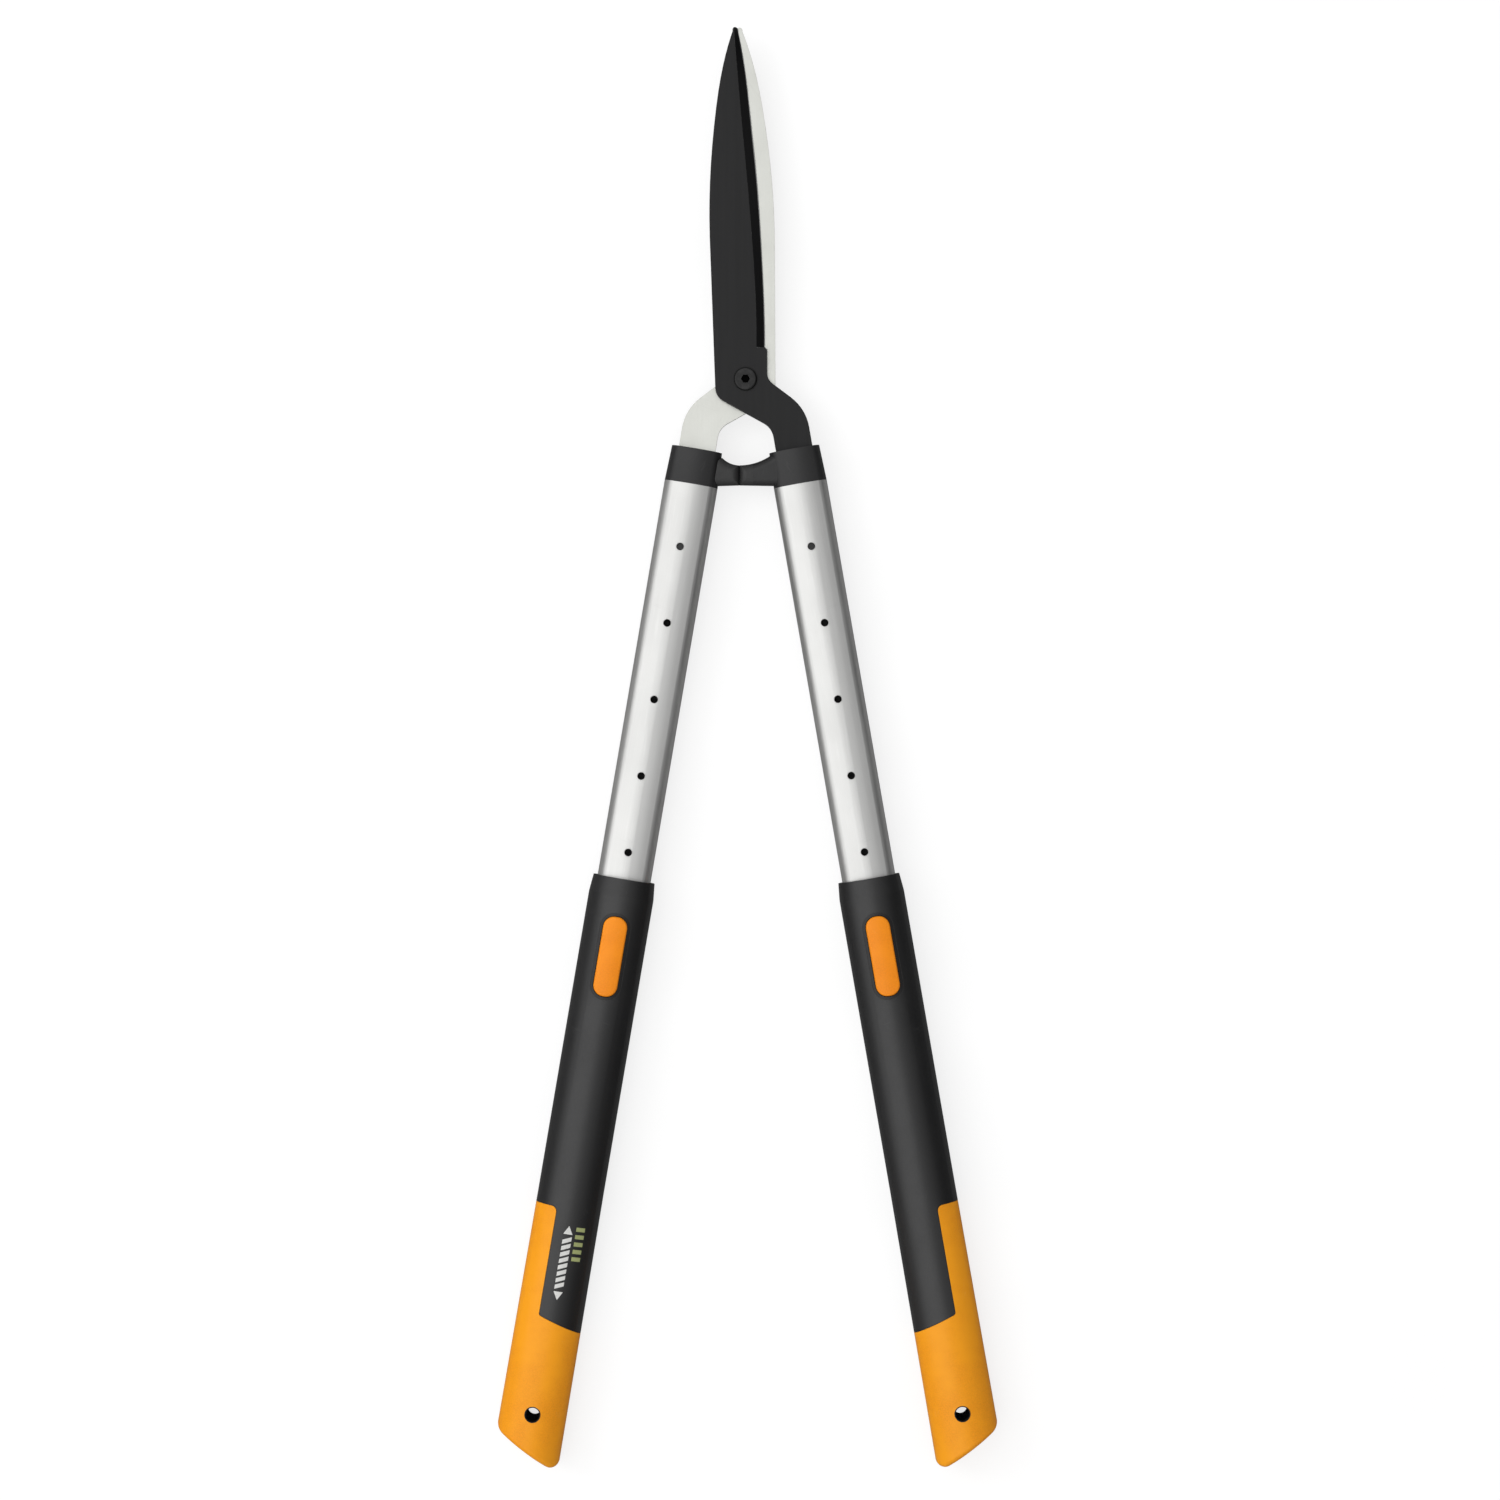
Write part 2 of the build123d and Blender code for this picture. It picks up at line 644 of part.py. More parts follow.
def main():
    """Builds every piece, moves them all to the shared origin and writes one STEP file each."""
    right_end = MEETING_X + MEETING_GAP / 2
    left_end = -MEETING_X + MEETING_GAP / 2
    right_arm = stop_arm(right_end)
    left_arm = stop_arm(left_end)
    tang_level = PLATE_GAP / 2 + PLATE_THICK / 2
    pieces = {
        "front_blade": blade(FRONT_LEAN),
        "rear_blade": blade(REAR_LEAN).rotate(Axis.Y, 180),
        "pivot_bolt": pivot_bolt(),
        "pivot_washer": pivot_washer(),
        "pivot_nut": pivot_nut(),
        "right_collar": collar(tang_level, right_arm, right_end, RIGHT_BUFFER),
        "left_collar": mirror(collar(-tang_level, left_arm, left_end, LEFT_BUFFER), about=Plane.YZ),
        "right_buffer": buffer(right_arm, right_end, RIGHT_BUFFER),
        "left_buffer": mirror(buffer(left_arm, left_end, LEFT_BUFFER), about=Plane.YZ),
    }
    handle = {
        "tube": tube(),
        "tube_plug": tube_plug(),
        "tang_screws": tang_screws(),
        "grip_core": grip_core(bezel()),
        "mouth_bush": bush(0.0, MOUTH_BUSH),
        "stop_bush": bush(*STOP_BUSH),
        "soft_grip": soft_grip(),
        "end_cap": end_cap(cap_hollow()),
        "lock_button": lock_button(),
        "button_rivet": button_rivet(),
        "lock_pin": lock_pin(),
        "button_spring": button_spring(),
    }
    for name, piece in handle.items():
        pieces["right_" + name] = piece
        pieces["left_" + name] = mirror(piece, about=Plane.YZ)

    box = Compound(list(pieces.values())).bounding_box()
    shift = Location((-box.center().X, -box.center().Y, -box.min.Z))
    os.makedirs("parts", exist_ok=True)
    for name, piece in pieces.items():
        placed = piece.moved(shift)
        placed.label = name
        export_step(placed, f"parts/{name}.step")
    print("pivot in the row frame", shift.position)
    print("overall size", box.size)


main()
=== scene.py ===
"""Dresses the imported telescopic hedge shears: finishes, small surface pieces, studio and camera."""

import json
import logging
import math
from dataclasses import dataclass, fields
from enum import Enum
from typing import Callable, Sequence, Union

import bmesh
import bpy
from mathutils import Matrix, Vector


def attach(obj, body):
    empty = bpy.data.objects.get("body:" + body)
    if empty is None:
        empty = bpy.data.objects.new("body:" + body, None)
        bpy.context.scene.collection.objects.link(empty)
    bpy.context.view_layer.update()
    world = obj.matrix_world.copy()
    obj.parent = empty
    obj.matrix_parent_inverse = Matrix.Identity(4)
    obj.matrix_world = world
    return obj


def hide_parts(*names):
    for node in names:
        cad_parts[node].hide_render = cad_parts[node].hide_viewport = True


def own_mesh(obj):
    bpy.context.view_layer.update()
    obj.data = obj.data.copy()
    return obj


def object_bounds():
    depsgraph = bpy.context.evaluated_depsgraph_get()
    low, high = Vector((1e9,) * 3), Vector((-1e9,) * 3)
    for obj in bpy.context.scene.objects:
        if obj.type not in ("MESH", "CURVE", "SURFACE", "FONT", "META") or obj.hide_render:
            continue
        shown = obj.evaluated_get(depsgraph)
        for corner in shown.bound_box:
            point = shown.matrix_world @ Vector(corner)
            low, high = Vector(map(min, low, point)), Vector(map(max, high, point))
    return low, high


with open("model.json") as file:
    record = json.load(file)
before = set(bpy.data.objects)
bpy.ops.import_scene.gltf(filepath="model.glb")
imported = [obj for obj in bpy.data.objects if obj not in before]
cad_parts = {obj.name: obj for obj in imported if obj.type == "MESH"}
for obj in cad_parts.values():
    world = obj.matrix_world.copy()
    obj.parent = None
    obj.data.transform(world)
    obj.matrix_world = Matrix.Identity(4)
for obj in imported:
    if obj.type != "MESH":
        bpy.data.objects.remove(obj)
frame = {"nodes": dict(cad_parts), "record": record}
CAD_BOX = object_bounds()

MM = 0.001
WELD = 0.002 * MM
LOG = logging.getLogger("shears")

Socket = bpy.types.NodeSocket
Feed = Union[Socket, float, Sequence[float]]
Colour = tuple[float, float, float]


class Hand(Enum):
    """The two handles, by the sign of their X."""

    LEFT = -1
    RIGHT = 1

    @property
    def label(self) -> str:
        """Prefix of this hand's CAD nodes and pieces."""
        return self.name.lower()


class Effect(Enum):
    """Shader node groups that several finishes share."""

    HANDLE_FRAME = "handle_frame"
    MOULDED_GRAIN = "moulded_grain"
    DRAWN_STREAKS = "drawn_streaks"
    FINE_SCRATCHES = "fine_scratches"
    EDGE_WEAR = "edge_wear"
    HANDLING = "handling"
    MOULD_LINE = "mould_line"


# ---------------------------------------------------------------------------------------------
# Node wiring
# ---------------------------------------------------------------------------------------------


class Wiring:
    """Adds and joins nodes in one shader tree."""

    def __init__(self, tree: bpy.types.NodeTree) -> None:
        """Keeps the tree that nodes are added to."""
        self.tree = tree

    def feed(self, socket: Socket, value: Feed) -> None:
        """Links a socket, or sets its plain value.

        Args:
            socket: the input that is fed.
            value: another node's output, a number, or a colour or vector that may lack its last 1.
        """
        if isinstance(value, bpy.types.NodeSocket):
            self.tree.links.new(value, socket)
        elif isinstance(socket.default_value, float):
            socket.default_value = float(value)
        else:
            socket.default_value = tuple(value) + (1.0,) * (len(socket.default_value) - len(value))

    def add(self, kind: str, feeds: dict | None = None, **settings: object) -> bpy.types.Node:
        """Adds one node.

        Args:
            kind: the node's type name without its ShaderNode prefix.
            feeds: value or socket for each named or numbered input.
            settings: the node's own properties.

        Returns:
            The new node.
        """
        node = self.tree.nodes.new("ShaderNode" + kind)
        for name, value in settings.items():
            setattr(node, name, value)
        for name, value in (feeds or {}).items():
            self.feed(node.inputs[name], value)
        return node

    def math(self, operation: str, *values: Feed, clamp: bool = False) -> Socket:
        """Adds a Math node and returns its output."""
        node = self.add("Math", dict(enumerate(values)), operation=operation, use_clamp=clamp)
        return node.outputs[0]

    def vector(self, operation: str, *values: Feed) -> Socket:
        """Adds a Vector Math node and returns its vector output."""
        return self.add("VectorMath", dict(enumerate(values)), operation=operation).outputs[0]

    def blend(self, factor: Feed, first: Feed, second: Feed) -> Socket:
        """Mixes two colours and returns the result."""
        return self.add("Mix", {0: factor, 6: first, 7: second}, data_type="RGBA").outputs[2]

    def part(self, vector: Feed, axis: int) -> Socket:
        """Returns one component of a vector."""
        return self.add("SeparateXYZ", {0: vector}).outputs[axis]

    def scaled(self, vector: Feed, size: Feed) -> Socket:
        """Divides a vector by a size and returns the result."""
        feeds = {0: vector, "Scale": self.math("DIVIDE", 1.0, size)}
        return self.add("VectorMath", feeds, operation="SCALE").outputs[0]

    def length(self, vector: Feed) -> Socket:
        """Returns a vector's length."""
        return self.add("VectorMath", {0: vector}, operation="LENGTH").outputs["Value"]

    def span(self, value: Feed, low: float, high: float, to_low: Feed = 0.0, to_high: Feed = 1.0) -> Socket:
        """Maps a range smoothly onto another and returns the result.

        Args:
            value: what is mapped.
            low: input that gives to_low.
            high: input that gives to_high.
            to_low: result at low.
            to_high: result at high.

        Returns:
            The mapped value's socket.
        """
        feeds = {"Value": value, "From Min": low, "From Max": high, "To Min": to_low, "To Max": to_high}
        return self.add("MapRange", feeds, interpolation_type="SMOOTHSTEP").outputs[0]

    def noise(self, place: Feed, scale: Feed = 1.0, detail: float = 2.0, roughness: float = 0.5) -> Socket:
        """Adds a noise texture and returns its value."""
        feeds = {"Vector": place, "Scale": scale, "Detail": detail, "Roughness": roughness}
        return self.add("TexNoise", feeds).outputs[0]

    def effect(self, kind: Effect, **feeds: Feed) -> bpy.types.NodeOutputs:
        """Places a shared node group.

        Args:
            kind: the group.
            feeds: value or socket for each of its inputs.

        Returns:
            The group node's outputs.
        """
        node = self.add("Group", node_tree=EFFECTS.tree(kind))
        for name, value in feeds.items():
            self.feed(node.inputs[name.replace("_", " ")], value)
        return node.outputs


class EffectGroups:
    """Builds each shared node group once, when a finish first asks for it."""

    def __init__(self) -> None:
        """Starts with no group built."""
        self.built: dict[Effect, bpy.types.NodeTree] = {}

    def tree(self, kind: Effect) -> bpy.types.NodeTree:
        """Finds a group, building it the first time.

        Args:
            kind: the group.

        Returns:
            Its node tree.
        """
        if kind not in self.built:
            self.built[kind] = getattr(self, kind.value)()
        return self.built[kind]

    @staticmethod
    def start(
        name: str, inputs: dict[str, Feed], outputs: dict[str, str]
    ) -> tuple[Wiring, bpy.types.NodeOutputs, bpy.types.NodeInputs]:
        """Makes an empty group with its named sockets.

        Args:
            name: the group's name.
            inputs: default of each input. A tuple makes it a vector.
            outputs: socket kind of each output, Float or Vector.

        Returns:
            The wiring, the sockets that bring the inputs, and the sockets that take the outputs.
        """
        tree = bpy.data.node_groups.new(name, "ShaderNodeTree")
        for label, default in inputs.items():
            kind = "Vector" if isinstance(default, tuple) else "Float"
            socket = tree.interface.new_socket(label, in_out="INPUT", socket_type="NodeSocket" + kind)
            socket.default_value = default
        for label, kind in outputs.items():
            tree.interface.new_socket(label, in_out="OUTPUT", socket_type="NodeSocket" + kind)
        wiring = Wiring(tree)
        entry = tree.nodes.new("NodeGroupInput")
        leave = tree.nodes.new("NodeGroupOutput")
        return wiring, entry.outputs, leave.inputs

    def handle_frame(self) -> bpy.types.NodeTree:
        """Place on a piece, alike on both hands: X across, Y along and Z up, from an origin on its axis.

        Returns:
            The group's tree.
        """
        w, given, out = self.start(
            "handle_frame",
            {"Turn": 0.0, "Origin": (0.0, 0.0, 0.0)},
            {"Position": "Vector", "Tilt": "Float", "Facing": "Float"},
        )
        here = w.add("TexCoord").outputs
        side = w.math("SIGN", w.part(here["Object"], 0))
        mirror = w.add("CombineXYZ", {0: side, 1: 1.0, 2: 1.0}).outputs[0]
        turned = [
            w.add(
                "VectorRotate",
                {"Vector": w.vector("MULTIPLY", here[source], mirror), "Angle": given["Turn"]},
                rotation_type="Z_AXIS",
            ).outputs[0]
            for source in ("Object", "Normal")
        ]
        position = w.vector("SUBTRACT", turned[0], given["Origin"])
        radial = w.vector("MULTIPLY", position, (1.0, 0.0, 1.0))
        facing = w.add("VectorMath", {0: w.vector("NORMALIZE", radial), 1: turned[1]}, operation="DOT_PRODUCT")
        w.feed(out["Position"], position)
        w.feed(out["Tilt"], w.part(turned[1], 2))
        w.feed(out["Facing"], facing.outputs["Value"])
        return w.tree

    def moulded_grain(self) -> bpy.types.NodeTree:
        """Rounded pits and soft mottling of a spark-eroded mould.

        Returns:
            The group's tree.
        """
        w, given, out = self.start(
            "moulded_grain",
            {"Position": (0.0, 0.0, 0.0), "Size": 0.4 * MM},
            {"Height": "Float", "Tone": "Float"},
        )
        place = w.scaled(given["Position"], given["Size"])
        cells = w.add("TexVoronoi", {"Vector": place, "Scale": 1.0, "Smoothness": 0.8}, feature="SMOOTH_F1")
        pebble = w.noise(place, 0.45, 3.0, 0.6)
        height = w.math("MULTIPLY_ADD", cells.outputs["Distance"], 0.55, w.math("MULTIPLY", pebble, 0.6))
        w.feed(out["Height"], height)
        w.feed(out["Tone"], pebble)
        return w.tree

    def drawn_streaks(self) -> bpy.types.NodeTree:
        """Long fine lines along Y, as drawing or grinding leaves them.

        Returns:
            The group's tree.
        """
        w, given, out = self.start(
            "drawn_streaks",
            {"Position": (0.0, 0.0, 0.0), "Width": 0.4 * MM, "Length": 30 * MM},
            {"Lines": "Float", "Bands": "Float"},
        )
        across = w.math("DIVIDE", 1.0, given["Width"])
        along = w.math("DIVIDE", 1.0, given["Length"])
        stretch = w.add("CombineXYZ", {0: across, 1: along, 2: across}).outputs[0]
        place = w.vector("MULTIPLY", given["Position"], stretch)
        w.feed(out["Lines"], w.noise(place, 1.0, 4.0, 0.7))
        w.feed(out["Bands"], w.noise(place, 0.12, 2.0, 0.5))
        return w.tree

    def fine_scratches(self) -> bpy.types.NodeTree:
        """Sparse hairline scratches in three directions.

        Returns:
            The group's tree.
        """
        w, given, out = self.start(
            "fine_scratches",
            {"Position": (0.0, 0.0, 0.0), "Spacing": 10 * MM, "Hairline": 0.012, "Cover": 0.5},
            {"Mask": "Float"},
        )
        place = w.scaled(given["Position"], given["Spacing"])
        total: Feed = 0.0
        for turn, shift in ((0.25, 1.7), (-0.5, 5.3), (1.35, 9.1)):
            turned = w.add("VectorRotate", {"Vector": place, "Angle": turn}, rotation_type="Z_AXIS")
            moved = w.vector("ADD", turned.outputs[0], (shift, shift, shift))
            drawn = w.noise(w.vector("MULTIPLY", moved, (2.6, 0.16, 1.0)), 1.0, 1.0, 0.4)
            offset = w.math("ABSOLUTE", w.math("SUBTRACT", drawn, 0.5))
            line = w.math("SUBTRACT", 1.0, w.math("DIVIDE", offset, given["Hairline"]), clamp=True)
            patch = w.math("SUBTRACT", w.noise(moved, 0.7, 1.0, 0.5), w.math("SUBTRACT", 1.0, given["Cover"]))
            kept = w.math("MULTIPLY", line, w.math("MULTIPLY", patch, 5.0, clamp=True))
            total = w.math("MAXIMUM", total, kept)
        w.feed(out["Mask"], total)
        return w.tree

    def edge_wear(self) -> bpy.types.NodeTree:
        """Broken-up mask along the piece's sharp edges.

        Returns:
            The group's tree.
        """
        w, given, out = self.start(
            "edge_wear",
            {"Position": (0.0, 0.0, 0.0), "Radius": 0.5 * MM, "Breakup": 2 * MM, "Amount": 0.5},
            {"Mask": "Float"},
        )
        rounded = w.add("Bevel", {"Radius": given["Radius"]}, samples=6).outputs[0]
        flat = w.add("NewGeometry").outputs["Normal"]
        along = w.add("VectorMath", {0: rounded, 1: flat}, operation="DOT_PRODUCT").outputs["Value"]
        rim = w.span(w.math("SUBTRACT", 1.0, along), 0.01, 0.12)
        chips = w.span(w.noise(w.scaled(given["Position"], given["Breakup"]), 1.0, 4.0, 0.65), 0.38, 0.62)
        w.feed(out["Mask"], w.math("MULTIPLY", w.math("MULTIPLY", rim, chips), given["Amount"]))
        return w.tree

    def handling(self) -> bpy.types.NodeTree:
        """Soft patches where hands and dust have changed the sheen.

        Returns:
            The group's tree.
        """
        w, given, out = self.start(
            "handling", {"Position": (0.0, 0.0, 0.0), "Patch": 20 * MM}, {"Mask": "Float", "Specks": "Float"}
        )
        place = w.scaled(given["Position"], given["Patch"])
        w.feed(out["Mask"], w.span(w.noise(place, 1.0, 3.0, 0.55), 0.35, 0.68))
        specks = w.add("TexVoronoi", {"Vector": place, "Scale": 9.0})
        w.feed(out["Specks"], w.span(specks.outputs["Distance"], 0.09, 0.03))
        return w.tree

    def mould_line(self) -> bpy.types.NodeTree:
        """Thin line where the two halves of a mould met, at the middle height.

        Returns:
            The group's tree.
        """
        w, given, out = self.start(
            "mould_line", {"Position": (0.0, 0.0, 0.0), "Width": 0.25 * MM}, {"Line": "Float"}
        )
        offset = w.math("ABSOLUTE", w.part(given["Position"], 2))
        line = w.math("SUBTRACT", 1.0, w.math("DIVIDE", offset, given["Width"]), clamp=True)
        w.feed(out["Line"], line)
        return w.tree


EFFECTS = EffectGroups()


# ---------------------------------------------------------------------------------------------
# Finishes
# ---------------------------------------------------------------------------------------------


@dataclass(frozen=True)
class Datum:
    """Turn and origin of the frame that a finish's pattern follows."""

    turn: float
    origin: tuple[float, float, float]


@dataclass(frozen=True)
class Pattern:
    """Values for one shared effect, named as its inputs are."""

    def feeds(self) -> dict[str, float]:
        """The values by input name."""
        return {field.name.capitalize(): getattr(self, field.name) for field in fields(self)}


@dataclass(frozen=True)
class Streaks(Pattern):
    """Spacing and length of drawn or ground lines."""

    width: float
    length: float


@dataclass(frozen=True)
class Scratches(Pattern):
    """How far apart, how fine and how common hairline scratches are."""

    spacing: float
    hairline: float
    cover: float


@dataclass(frozen=True)
class EdgeWear(Pattern):
    """How wide, how broken and how strong the wear on edges is."""

    radius: float
    breakup: float
    amount: float


@dataclass(frozen=True)
class Finish:
    """What every finish has: a name, a base colour, a roughness and the frame of its pattern."""

    name: str
    colour: Colour
    roughness: float
    datum: Datum

    def begin(self) -> tuple[bpy.types.Material, Wiring, bpy.types.Node, bpy.types.NodeOutputs]:
        """Makes the material with its Principled shader.

        Returns:
            The material, its wiring, the shader node and the handle frame's outputs.
        """
        material = bpy.data.materials.new(self.name)
        material.use_nodes = True
        material.node_tree.nodes.clear()
        w = Wiring(material.node_tree)
        shader = w.add("BsdfPrincipled", {"Base Color": self.colour, "Roughness": self.roughness})
        w.feed(w.add("OutputMaterial").inputs["Surface"], shader.outputs[0])
        place = w.effect(Effect.HANDLE_FRAME, Turn=self.datum.turn, Origin=self.datum.origin)
        return material, w, shader, place

    def shade(self, factor: float) -> Colour:
        """The base colour, lighter or darker by a factor."""
        return tuple(c * factor for c in self.colour)

    @staticmethod
    def relief(w: Wiring, shader: bpy.types.Node, height: Feed, depth: float, rounding: float) -> None:
        """Feeds the shader's Normal with a bump over softened edges.

        Args:
            w: the material's wiring.
            shader: the Principled shader.
            height: pattern height from 0 to 1.
            depth: the pattern's depth in metres.
            rounding: radius that sharp edges seem to have, in metres.
        """
        soft = w.add("Bevel", {"Radius": rounding}, samples=6).outputs[0]
        feeds = {"Strength": 1.0, "Distance": depth, "Height": height, "Normal": soft}
        w.feed(shader.inputs["Normal"], w.add("Bump", feeds).outputs[0])

    def build(self) -> bpy.types.Material:
        """Makes the material. Each finish has its own."""
        raise NotImplementedError

@dataclass(frozen=True)
class CoatedSteel(Finish):
    """Black low-friction coating, with darker ground bevel and a bare honed edge."""

    bevel_colour: Colour = (0.0028, 0.0028, 0.0031)
    steel_colour: Colour = (0.78, 0.78, 0.77)
    hone_top: float = 0.82 * MM
    hone_blur: float = 0.05 * MM
    ior: float = 1.35
    lines: Streaks = Streaks(0.5 * MM, 30 * MM)
    scratches: Scratches = Scratches(14 * MM, 0.01, 0.45)
    edges: EdgeWear = EdgeWear(0.35 * MM, 3 * MM, 0.35)
    peel_scale: float = 1400.0
    relief_depth: float = 0.02 * MM
    rounding: float = 0.15 * MM

    def build(self) -> bpy.types.Material:
        """Makes the material.

        Returns:
            The new material.
        """
        material, w, shader, place = self.begin()
        position = place["Position"]
        shader.inputs["IOR"].default_value = self.ior
        tilt = w.math("ABSOLUTE", place["Tilt"])
        ground = w.math("MULTIPLY", w.span(tilt, 0.99, 0.965), w.span(tilt, 0.5, 0.8))
        height = w.part(position, 2)
        hone = w.math("MULTIPLY", w.span(height, self.hone_top + self.hone_blur, self.hone_top), ground)
        streaks = w.effect(Effect.DRAWN_STREAKS, Position=position, **self.lines.feeds())
        wear = w.effect(Effect.EDGE_WEAR, Position=position, **self.edges.feeds())["Mask"]
        marks = w.effect(Effect.FINE_SCRATCHES, Position=position, **self.scratches.feeds())["Mask"]
        peel = w.noise(position, self.peel_scale)
        tone = w.blend(w.span(streaks["Bands"], 0.3, 0.7), self.colour, self.shade(1.18))
        tone = w.blend(w.math("MULTIPLY", marks, 0.35), tone, self.shade(2.2))
        tone = w.blend(ground, tone, self.bevel_colour)
        bare = w.math("MAXIMUM", hone, wear)
        w.feed(shader.inputs["Base Color"], w.blend(bare, tone, self.steel_colour))
        w.feed(shader.inputs["Metallic"], bare)
        satin = w.span(streaks["Lines"], 0.3, 0.7, self.roughness - 0.05, self.roughness + 0.06)
        satin = w.math("MULTIPLY_ADD", ground, -0.12, satin)
        w.feed(shader.inputs["Roughness"], w.math("MULTIPLY_ADD", bare, -0.1, satin))
        relief = w.math("MULTIPLY_ADD", streaks["Lines"], 0.5, w.math("MULTIPLY", peel, 0.5))
        self.relief(w, shader, relief, self.relief_depth, self.rounding)
        return material


@dataclass(frozen=True)
class GroundSteel(Finish):
    """Bare blade steel with fine grinding lines."""

    hand_colour: Colour = (0.62, 0.6, 0.55)
    lines: Streaks = Streaks(0.35 * MM, 45 * MM)
    scratches: Scratches = Scratches(11 * MM, 0.012, 0.5)
    patch: float = 30 * MM
    relief_depth: float = 0.012 * MM
    rounding: float = 0.2 * MM

    def build(self) -> bpy.types.Material:
        """Makes the material.

        Returns:
            The new material.
        """
        material, w, shader, place = self.begin()
        position = place["Position"]
        streaks = w.effect(Effect.DRAWN_STREAKS, Position=position, **self.lines.feeds())
        marks = w.effect(Effect.FINE_SCRATCHES, Position=position, **self.scratches.feeds())["Mask"]
        hands = w.effect(Effect.HANDLING, Position=position, Patch=self.patch)["Mask"]
        shade = w.span(streaks["Lines"], 0.25, 0.75)
        tone = w.blend(shade, self.shade(0.93), self.colour)
        tone = w.blend(w.math("MULTIPLY", marks, 0.25), tone, self.shade(0.7))
        w.feed(shader.inputs["Base Color"], w.blend(w.math("MULTIPLY", hands, 0.06), tone, self.hand_colour))
        w.feed(shader.inputs["Metallic"], 1.0)
        satin = w.span(streaks["Lines"], 0.3, 0.7, self.roughness - 0.06, self.roughness + 0.07)
        w.feed(shader.inputs["Roughness"], w.math("MULTIPLY_ADD", hands, 0.06, satin))
        height = w.math("MULTIPLY_ADD", marks, -0.3, streaks["Lines"])
        self.relief(w, shader, height, self.relief_depth, self.rounding)
        return material


@dataclass(frozen=True)
class DrawnAluminium(Finish):
    """Satin anodised tube, drawn lengthways, with faint rub marks from the grip's bushes, and painted shade
    inside the bore.
    """

    bore_colour: Colour = (0.03, 0.03, 0.03)
    lines: Streaks = Streaks(0.3 * MM, 120 * MM)
    rub_lines: Streaks = Streaks(1.6 * MM, 35 * MM)
    scratches: Scratches = Scratches(16 * MM, 0.008, 0.42)
    patch: float = 45 * MM
    relief_depth: float = 0.01 * MM
    rounding: float = 0.2 * MM

    def build(self) -> bpy.types.Material:
        """Makes the material.

        Returns:
            The new material.
        """
        material, w, shader, place = self.begin()
        position = place["Position"]
        streaks = w.effect(Effect.DRAWN_STREAKS, Position=position, **self.lines.feeds())
        rubs = w.effect(Effect.DRAWN_STREAKS, Position=position, **self.rub_lines.feeds())["Lines"]
        marks = w.effect(Effect.FINE_SCRATCHES, Position=position, **self.scratches.feeds())["Mask"]
        hands = w.effect(Effect.HANDLING, Position=position, Patch=self.patch)["Mask"]
        rubbed = w.math("MULTIPLY", w.span(rubs, 0.55, 0.72), 0.35)
        tone = w.blend(w.span(streaks["Lines"], 0.3, 0.7), self.shade(0.95), self.colour)
        tone = w.blend(w.math("MULTIPLY", marks, 0.3), tone, self.shade(0.78))
        tone = w.blend(rubbed, tone, [min(1.0, c * 1.07) for c in self.colour])
        # Painted shade: the tube's inner wall, which faces the axis, is coloured near black and made less
        # metallic.
        bore_shade_mask = w.span(place["Facing"], 0.1, -0.1)
        w.feed(shader.inputs["Base Color"], w.blend(bore_shade_mask, tone, self.bore_colour))
        w.feed(shader.inputs["Metallic"], w.math("MULTIPLY_ADD", bore_shade_mask, -0.6, 1.0))
        satin = w.span(streaks["Lines"], 0.3, 0.7, self.roughness - 0.04, self.roughness + 0.05)
        satin = w.math("MULTIPLY_ADD", rubbed, -0.12, satin)
        w.feed(shader.inputs["Roughness"], w.math("MULTIPLY_ADD", hands, 0.05, satin))
        height = w.math("MULTIPLY_ADD", marks, -0.4, streaks["Lines"])
        self.relief(w, shader, height, self.relief_depth, self.rounding)
        return material


